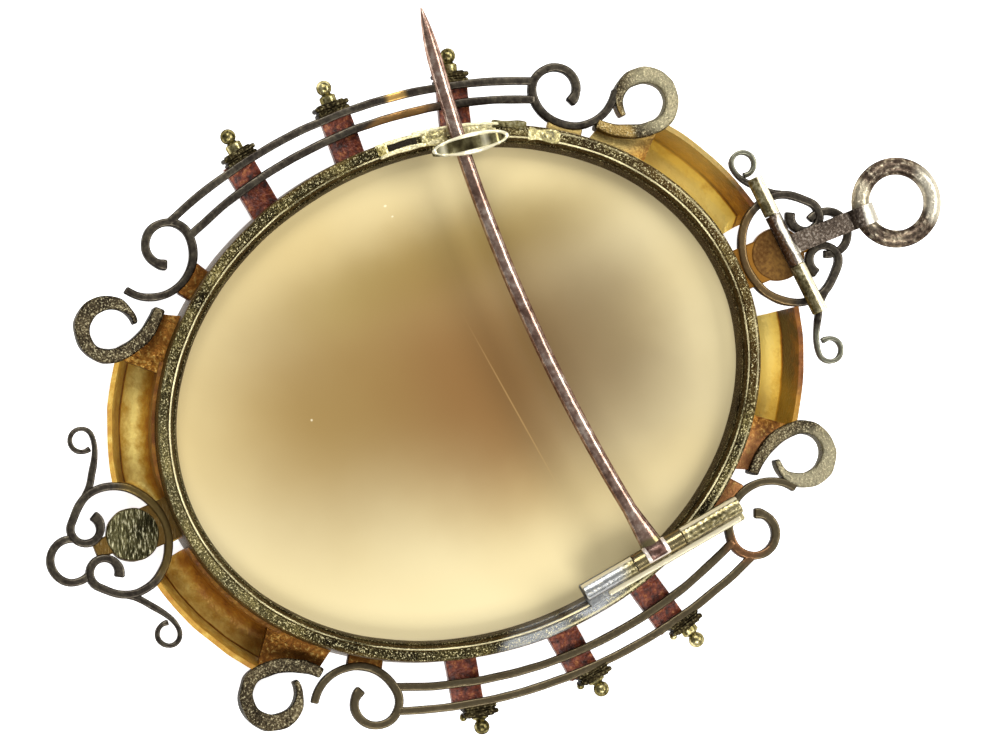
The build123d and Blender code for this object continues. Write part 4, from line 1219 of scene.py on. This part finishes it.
def rail_arc(side, off, touch):
    """Centre, radius and end angles of a rail, made on the +X side."""
    corners = {row["side"][1]: row for row in CORNERS if row["side"][0] == side}
    upper = at(thin_centre(corners[1]), THIN_RADIUS, -corners[1]["touch"][touch])
    lower = at(thin_centre(corners[-1]), THIN_RADIUS, -corners[-1]["touch"][touch]) * (1, -1)
    shift, slip = (RAIL_SHIFT, RAIL_SLIP) if side > 0 else (0, 0)
    centre, radius = circle_through(upper, (HALF_X + off + shift, slip), lower)
    ends = [math.degrees(math.atan2(p[1] - centre[1], p[0] - centre[0])) for p in (lower, upper)]
    return centre, radius, ends


def rail_work():
    """Two rails a side, filed flat at the back."""
    work = Work()
    section = bar(RAIL_WIDTH, WORK_Z - RAIL_DEPTH, WORK_Z, RAIL_EDGE)
    for side in (-1, 1):
        for touch, off in enumerate((INNER_RAIL, OUTER_RAIL)):
            centre, radius, ends = rail_arc(side, off, touch)
            path = arc(centre, radius, ends[0], ends[1] - ends[0])
            work.add(flipped(swept(path, section), (side, 1)))
    return work


def column_places():
    """Each column's row with its foot, heading and reach to the outer rail."""
    for row in COLUMNS:
        foot = oval(0, row["angle"], 0, 1)[0]
        turn = math.radians(row["angle"])
        heading = math.degrees(math.atan2(math.sin(turn) / HALF_Y, math.cos(turn) / HALF_X)) + row["lean"]
        centre, radius, _ = rail_arc(row["side"], OUTER_RAIL, 1)
        back = foot - centre
        along = back @ at((0, 0), 1, heading)
        reach = math.sqrt(along**2 - back @ back + radius**2) - along
        yield row, foot, heading, reach


def on_column(points, row, foot, heading):
    """Points of a column's own frame, turned about its foot, on its side of the brooch."""
    return flipped(placed(points, (*foot, 0), heading), (row["side"], 1))


def column_work():
    """Half-round columns with a shallow hollow at the back, dull with old solder and dirt."""
    work = Work()
    back = WORK_Z - RAIL_DEPTH + COLUMN_LAP
    outer = COLUMN_WIDTH / 2
    inner = outer - COLUMN_SHEET
    low = back - COLUMN_DEPTH + outer
    section = [(outer, back)]
    for turn in np.linspace(0, math.pi, 13):
        section.append((outer * math.cos(turn), low - outer * math.sin(turn)))
    section += [(-outer, back), (-inner, back), (-inner + COLUMN_LIP, back - COLUMN_HOLLOW * 2 / 3)]
    section += [(inner * share, back - COLUMN_HOLLOW) for share in (-0.5, 0, 0.5)]
    section += [(inner - COLUMN_LIP, back - COLUMN_HOLLOW * 2 / 3), (inner, back)]
    for row, foot, heading, reach in column_places():
        rings = []
        for place in np.linspace(-COLUMN_SINK, reach + RAIL_WIDTH / 2, 16):
            rings.append([(place, side, up) for side, up in section])
        work.add(on_column(np.array(rings), row, foot, heading))
    return work


def cap_work():
    """Caps in two steps at the outer rail."""
    work = Work()
    for row, foot, heading, reach in column_places():
        start = reach + RAIL_WIDTH / 4
        tenth = (reach + RAIL_WIDTH / 2 + CAP_THICK - start) / 10
        middle = WORK_Z - CAP_DEPTH / 2
        for first, last, wide_share, deep_share in CAP_STEPS:
            wide, deep = CAP_WIDTH * wide_share, CAP_DEPTH * deep_share
            low = (start + first * tenth, row["shift"] - wide / 2, middle - deep / 2)
            high = (start + last * tenth, row["shift"] + wide / 2, middle + deep / 2)
            work.add(on_column(box(low, high), row, foot, heading))
    return work


def finial_work():
    """Turned finials: collar, neck and ball, and the small beads beside three caps."""
    work = Work()
    middle = WORK_Z - CAP_DEPTH / 2
    radius = FINIAL_BALL / 2
    bead = []
    for turn in np.linspace(0, math.pi, 11):
        bead.append((-BEAD_RADIUS * math.cos(turn), max(BEAD_RADIUS * math.sin(turn), 0.01)))
    for row, foot, heading, reach in column_places():
        end = reach + RAIL_WIDTH / 2 + CAP_THICK
        ball = end + row["neck"] + FINIAL_BALL / 3
        profile = [(end - FINIAL_SINK, FINIAL_NECK)]
        profile += [(ball - radius + place, size) for place, size in FINIAL_COLLAR]
        for turn in np.radians(np.linspace(145, 5, 11)):
            profile.append((ball + radius * math.cos(turn), radius * math.sin(turn)))
        points = turned(profile, 28) + np.array([0, row["shift"], middle])
        work.add(on_column(points, row, foot, heading))
        if row["bead"]:
            points = turned(bead, 18) + np.array([end - FINIAL_SINK, row["shift"] - CAP_WIDTH / 2, middle])
            work.add(on_column(points, row, foot, heading))
    return work


def ring_point(angle):
    """A place on the oval ring of the top cluster."""
    turn = math.radians(angle)
    return np.array([CLUSTER_SIDE * math.cos(turn), CLUSTER_Y + CLUSTER_RADIUS * math.sin(turn)])


def volute_centre():
    return at((0, CLUSTER_Y), CLUSTER_RADIUS - VOLUTE_RADIUS, VOLUTE_ANGLE)


def volute_path():
    """Half of a cluster's ring, from the bezel round to its curled end."""
    volute = arc(volute_centre(), VOLUTE_RADIUS, VOLUTE_ANGLE, VOLUTE_TURN)
    first = bow(ring_point(-90), (CLUSTER_BOW, 0), ring_point(0), (0, CLUSTER_BOW))
    second = bow(ring_point(0), (0, CLUSTER_BOW), volute[0], at((0, 0), 1, VOLUTE_ANGLE + 90))
    return joined(first, second, volute)


def curl_path(row):
    """A small curl and its tail, which joins the cluster's ring."""
    centre = (row["away"], CLUSTER_Y - row["drop"])
    leave = at(centre, CURL_RADIUS, -90)
    join = ring_point(CURL_JOIN)
    middle = (leave + join) / 2 - CURL_RADIUS * np.array([0.5, 0.35])
    curl = arc(centre, CURL_RADIUS, -90 + CURL_TURN, -CURL_TURN)
    heading = (join - leave) / np.linalg.norm(join - leave)
    return joined(curl, bow(leave, (-1, 0), middle, heading), bow(middle, heading, join, (-0.3, 1)))


def cluster_work():
    """The volute clusters with their loops and small curls."""
    work = Work()
    low, high = WORK_Z - WORK_DEPTH, WORK_Z
    main = bar(CLUSTER_WIRE, low, high, CLUSTER_EDGE)
    lower = bar(CLUSTER_WIRE, low + SET_BACK, high - SET_BACK, CLUSTER_EDGE)
    fine = bar(CURL_WIRE, low + SET_BACK, high - SET_BACK, CURL_EDGE)
    half = volute_path()
    half_share = np.interp(np.linspace(0, 1, len(half)), [0, 0.9, 0.97, 1], [1, 1, 1.2, 1.25])
    for side_y in (1, -1):
        for side_x in (1, -1):
            work.add(flipped(swept(half, main, half_share), (side_x, side_y)))
        loop = arc((0, CLUSTER_Y + LOOP_REACH[side_y]), LOOP_RADIUS, LOOP_START, LOOP_TURN)
        work.add(flipped(swept(loop, lower), (1, side_y)))
    for row in CURLS:
        path = curl_path(row)
        run = np.linspace(0, 1, len(path))
        share = np.interp(run, [0, 0.04, 0.35, 0.6, 0.9, 1], [1.3, 1.0, 1.0, 1.45, 1.6, 1.2])
        work.add(flipped(swept(path, fine, share), row["side"]))
    return work


def boss_work(side_y):
    """The round boss of a cluster and the straps that carry it."""
    work = Work()
    boss_y = CLUSTER_Y - BOSS_SHIFT
    low, high = WORK_Z - WORK_DEPTH * 1.5, WORK_Z - SET_BACK
    profile = [
        (low, 0.03), (low, BOSS_RADIUS - 0.55), (low + 0.25, BOSS_RADIUS - 0.2), (low + 0.7, BOSS_RADIUS),
        (high - 0.12, BOSS_RADIUS), (high, BOSS_RADIUS - 0.12), (high + 0.02, BOSS_RADIUS - 0.5),
        (high + 0.03, 0.03),
    ]
    tones = np.array([0.2, 0.2, 0.2, 0.2, 0.25, 0.45, 0.5, 0.5])
    points = turned(profile, 64, "z") + np.array([0, boss_y, 0])
    work.add(flipped(points, (1, side_y)), tones=tones[:, None])
    strap_low, strap_high = WORK_Z - WORK_DEPTH + STRAP_DROP, WORK_Z - STRAP_DROP
    for near, far, width in (
        (HALF_Y - STRAP_SINK, boss_y, STRAP_WIDE), (boss_y, volute_centre()[1], STRAP_NARROW),
    ):
        strap = box((-width / 2, near, strap_low), (width / 2, far, strap_high), 0.12)
        work.add(flipped(strap, (1, side_y)), tones=0.1)
    return work


def hinge_work(origin, lean, length, start, moving, radius, rivet, depth, foot, worn_and_lit, reach):
    """The two fixed knuckles of a hinge on their feet.

    start is the length of the first fixed knuckle and moving that of the turning one beside
    it. depth is how far down the feet go and foot how wide they are. The next to last argument
    is the angle at which a painted highlight runs down the tube's lit side, and reach how far it
    goes round; the far side gets painted shade.
    """
    work = Work()
    bore = rivet / 2 + RIVET_ROOM
    # A painted highlight down the tube's lit side and painted shade on its far side
    away = np.abs((np.linspace(0, 360, 40, endpoint=False) - worn_and_lit + 180) % 360 - 180)
    tones = np.interp(away, [0, reach, reach + 10, 100, 130], [1.0, 0.95, 0.55, 0.5, 0.2])[:, None]
    for first, last in ((-length / 2, -length / 2 + start), (-length / 2 + start + moving, length / 2)):
        work.add(placed(tube(radius, bore, first, last), origin, lean), closed=True, tones=tones)
        block = box((first, -foot / 2, -depth), (last, foot / 2, -radius * 0.6))
        work.add(placed(block, origin, lean), tones=0.4)
    return work


def pin_hinge_work():
    """Plate and fixed knuckles of the pin's hinge, with a pale ridge of solder along the plate."""
    work = hinge_work(**PIN_HINGE)
    half, side = PIN_HINGE["length"] / 2, PIN_HINGE["radius"]
    plate = box((-half, -side, PIN_PLATE_LOW), (half, PIN_PLATE_WIDTH - side, PIN_PLATE_HIGH))
    ridge = box(
        (-half + RIDGE_START, side + RIDGE_INNER, PIN_PLATE_HIGH - RIDGE_SINK),
        (half - RIDGE_STOP, side + RIDGE_OUTER, PIN_PLATE_HIGH + RIDGE_RISE),
    )
    for block, tone in ((plate, 0.6), (ridge, 1.0)):
        work.add(placed(block, PIN_HINGE["origin"], PIN_HINGE["lean"]), tones=tone)
    return work


def stem_foot_work():
    """The flattened root of the stem, bent over the moving knuckle, in two layers."""
    work = Work()
    for first, last, inner, outer, start, stop, tone in STEM_FOOT_LAYERS:
        angles = np.radians(np.linspace(start, stop, 14))
        rings = []
        for place, edge in ((first, 0.06), (first + 0.1, 0), (last - 0.1, 0), (last, 0.06)):
            over, under = PIN_TUBE / 2 + outer - edge, PIN_TUBE / 2 + inner
            ring = [(place, over * math.cos(a), over * math.sin(a)) for a in angles]
            ring += [(place, under * math.cos(a), under * math.sin(a)) for a in angles[::-1]]
            rings.append(ring)
        work.add(placed(np.array(rings), PIN_HINGE["origin"], PIN_HINGE["lean"]), tones=tone)
    return work


def stem_y(x):
    """Where the bowed stem passes at a place across the brooch."""
    half = STEM_REACH / 2
    radius = (half**2 + STEM_BOW**2) / (2 * STEM_BOW)
    across = x - (PIN_X - half)
    return PIN_Y - STEM_SET - STEM_BOW + radius - math.sqrt(radius**2 - across**2)


def catch_plate_work():
    """The catch's foot: scraped plates on the rim, with a slot and a shadow line that are painted dark as
    painted shade.
    """
    work = Work()
    low, high = RIM_Z - 0.25, RIM_Z + 0.2
    for start, turn, off, width, drop, uneven, tone in CATCH_STRIPS:
        base = oval(off, start, turn)
        share = 1 + uneven * np.sin(np.linspace(0, 1.2 * turn, len(base)))
        work.add(swept(base, bar(width, low, high - drop, 0.1), share), tones=tone)
    return work


def catch_strip(top, far, near):
    """The bent sheet of the catch, seen from its side as a line, and how wide it is along it."""
    crest, middle_z = far - 1.1, (RIM_Z + top) / 2
    line = joined(
        bow((far, RIM_Z), (0, 1), (far - 0.275, middle_z), (-0.25, 1), 6),
        bow((far - 0.275, middle_z), (-0.25, 1), (crest, top), (-1, 0), 8),
        bow((crest, top), (-1, 0), (near + 0.85, top), (-1, 0), 16),
        bow((near + 0.85, top), (-1, 0), (near, PIN_Z + 0.5), (-0.1, -1), 8),
    )
    run = np.linspace(0, 1, len(line))
    widths = np.interp(run, [0, 0.25, 0.4, 0.6, 0.8, 1], [0.9, 1.0, 1.4, 1.4, 1.2, 0.6])
    rings = []
    for (y, z), (square_y, square_z), width in zip(line, squares(line), widths):
        ring = []
        for sign in (1, -1):
            lift = CATCH_SHEET * (0.3 * sign + 0.12)
            for share in np.linspace(-1, 1, 7):
                ring.append((share * sign * width / 2, y + square_y * lift, z + square_z * lift))
        rings.append(ring)
    # Bright bands along the dish are painted reflections and dark bands painted shade
    painted_reflection_tones = np.interp(run, [0, 0.3, 0.45, 0.55, 0.7, 0.8, 1], [0.3, 0.2, 0.85, 0.1, 0.2, 0.9, 0.3])
    return np.array(rings), painted_reflection_tones


def catch_rim(top, far, near):
    """The round wire at the dish's edge, which dips where the strip bends down at its ends."""
    middle, half = (far + near) / 2, CATCH_SPAN / 2 - SET_BACK
    around = np.linspace(0, 2 * math.pi, 10, endpoint=False)
    rings = []
    for turn in np.linspace(0, 2 * math.pi, 64, endpoint=False):
        out = np.array([0.45 * math.cos(turn), math.sin(turn)])
        out /= np.linalg.norm(out)
        flat = np.array([0.66 * math.cos(turn), middle + half * math.sin(turn)])
        size = 0.2 * (1 + 0.12 * math.sin(3 * turn + 1))
        drop = 0.34 * max(0, abs(math.sin(turn)) - 0.8) / 0.2
        rings.append([(*(flat + out * size * math.cos(a)), top - drop + size * math.sin(a)) for a in around])
    return np.array(rings)


def catch_hook_work():
    """The catch's strip, bent over the stem: an oval dish with a round rim, seen from the back."""
    work = Work()
    place = (-CATCH_X, stem_y(-CATCH_X), 0)
    top = PIN_Z + STEM_WIRE / 2 + CATCH_ROOM + CATCH_SHEET / 2
    far = CATCH_SPAN * CATCH_FAR_SHARE
    near = far - CATCH_SPAN
    strip, painted_reflection_tones = catch_strip(top, far, near)
    work.add(placed(strip, place, CATCH_LEAN), tones=painted_reflection_tones[:, None])
    work.add(placed(catch_rim(top, far, near), place, CATCH_LEAN), closed=True, tones=0.95)
    return work


def make_pieces():
    """Every piece with its finish and its body."""
    wire = drawn_wire_gold("scroll_wire_gold", RAIL_PATCHES)
    volute = drawn_wire_gold("volute_wire_gold", CLUSTER_STAINS)
    knuckle = hinge_tube_gold()
    stone().made("cameo", "root", "cameo", polished_banded_hardstone(), "cameo_stone", sharp=60)
    for name, work, finish, wobble, wobble_size in (
        ("bezel", bezel_work(), filed_rim_gold(), 0.03, 3.0),
        ("coves", cove_work(), pressed_cove_gold(), 0.05, 1.6),
        ("corner_plates", corner_plate_work(), stained_plate_gold(), 0.06, 1.2),
        ("rails", rail_work(), wire, 0.05, 2.0),
        ("thin_scrolls", thin_scroll_work(), wire, 0.05, 1.6),
        ("thick_scrolls", thick_scroll_work(), cast_scroll_gold(), 0.09, 1.2),
        ("columns", column_work(), heat_stained_sheet(), 0.02, 0.8),
        ("column_caps", cap_work(), cast_cap_gold(), 0.01, 1.2),
        ("finials", finial_work(), turned_finial_gold(), 0.02, 0.8),
        ("clusters", cluster_work(), volute, 0.05, 1.4),
        ("top_boss", boss_work(1), boss_gold_in_painted_shade(), 0.03, 1.2),
        ("bottom_boss", boss_work(-1), filed_boss_gold(), 0.06, 1.0),
        ("pin_hinge", pin_hinge_work(), knuckle, 0.01, 1.5),
        ("bail_hinge", hinge_work(**BAIL_HINGE), knuckle, 0.01, 1.5),
        ("catch_plates", catch_plate_work(), scraped_catch_gold(), 0.03, 0.5),
        ("catch_hook", catch_hook_work(), burnished_catch_gold(), 0.02, 0.8),
    ):
        work.made(name, "root", "gold", finish, "frame", wobble, wobble_size)
    stem_foot_work().made("stem_foot", "pin", "pin_gold", beaten_rose_gold(), None, 0.02, 1.0)
    rivet = rivet_gold()
    for name, finish in (
        ("pin_stem", drawn_rose_gold()), ("pin_rivet", rivet), ("bail_arm", rough_arm_gold()),
        ("bail_ring", hammered_ring_gold()), ("bail_rivet", rivet),
    ):
        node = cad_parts[name]
        node.data.materials.clear()
        node.data.materials.append(finish)


# The photograph's camera: how it leans, how the brooch is turned in the picture, how far it
# stands, the picture's size in pixels and where the rim's middle is in it
CAMERA_TILT = 7
CAMERA_SIDE = -1
CAMERA_TURN = 23.5
CAMERA_AWAY = 900
MM_PER_PIXEL = 0.08
PICTURE_WIDE = 984
PICTURE_HIGH = 738
AIM_ACROSS = 460.4
AIM_DOWN = 392.8
SENSOR = 36


def photo_camera():
    """The camera of the photograph, nearly straight down on the back."""
    tilt, side, turn = (math.radians(angle) for angle in (CAMERA_TILT, CAMERA_SIDE, CAMERA_TURN))
    across = Vector((math.cos(side), 0, -math.sin(side)))
    along = Vector((math.sin(side) * math.sin(tilt), math.cos(tilt), math.cos(side) * math.sin(tilt)))
    back = Vector((math.sin(side) * math.cos(tilt), -math.sin(tilt), math.cos(side) * math.cos(tilt)))
    right = across * math.sin(turn) + along * math.cos(turn)
    up = -across * math.cos(turn) + along * math.sin(turn)
    pose = Matrix((right, up, back)).transposed().to_4x4()
    pose.translation = Vector((0, 0, RIM_Z * MM)) + back * CAMERA_AWAY * MM
    data = bpy.data.cameras.new("photo_camera")
    data.sensor_width = SENSOR
    data.lens = SENSOR * CAMERA_AWAY / (PICTURE_WIDE * MM_PER_PIXEL)
    data.shift_x = (PICTURE_WIDE / 2 - AIM_ACROSS) / PICTURE_WIDE
    data.shift_y = (AIM_DOWN - PICTURE_HIGH / 2) / PICTURE_WIDE
    data.clip_start = 0.01
    camera = bpy.data.objects.new("photo_camera", data)
    camera.matrix_world = pose
    bpy.context.scene.collection.objects.link(camera)
    bpy.context.scene.camera = camera


# Sizes and places of the studio are in metres, apart from the table's drop in millimetres
TABLE_HALF = 3.0
TABLE_DROP = 0.03
SURROUND_LIGHT = 0.16
SOFTBOX_POWER = 4.6
SOFTBOXES = [
    ("left_softbox", (-0.5, 0.1, 0.6), (0.5, 0.34)),
    ("far_softbox", (0.1, 0.55, 0.5), (0.6, 0.3)),
    ("right_softbox", (0.5, -0.15, 0.6), (0.5, 0.34)),
]


def softbox(name, place, size):
    """A soft light that faces the brooch."""
    data = bpy.data.lights.new(name, "AREA")
    data.shape = "RECTANGLE"
    data.size, data.size_y = size
    data.energy = SOFTBOX_POWER
    light = bpy.data.objects.new(name, data)
    light.location = place
    light.rotation_euler = (-Vector(place)).to_track_quat("-Z", "Y").to_euler()
    bpy.context.scene.collection.objects.link(light)


def table_top():
    """The white table, a hair below the brooch's front edge."""
    mesh = bpy.data.meshes.new("table_top")
    corners = [(x * TABLE_HALF, y * TABLE_HALF, 0) for x, y in ((-1, -1), (1, -1), (1, 1), (-1, 1))]
    mesh.from_pydata(corners, [], [(0, 1, 2, 3)])
    mesh.materials.append(white_card())
    top = bpy.data.objects.new("table_top", mesh)
    top.location.z = -TABLE_DROP * MM
    bpy.context.scene.collection.objects.link(top)


def studio():
    """White table, grey surroundings and three soft lights at the sides."""
    table_top()
    world = bpy.data.worlds.new("studio")
    bpy.context.scene.world = world
    world.use_nodes = True
    surround = world.node_tree.nodes["Background"]
    surround.inputs["Color"].default_value = linear("#FFFFFF")
    surround.inputs["Strength"].default_value = SURROUND_LIGHT
    for name, place, size in SOFTBOXES:
        softbox(name, place, size)
    bpy.context.scene.view_settings.view_transform = "Standard"


make_pieces()
photo_camera()
studio()
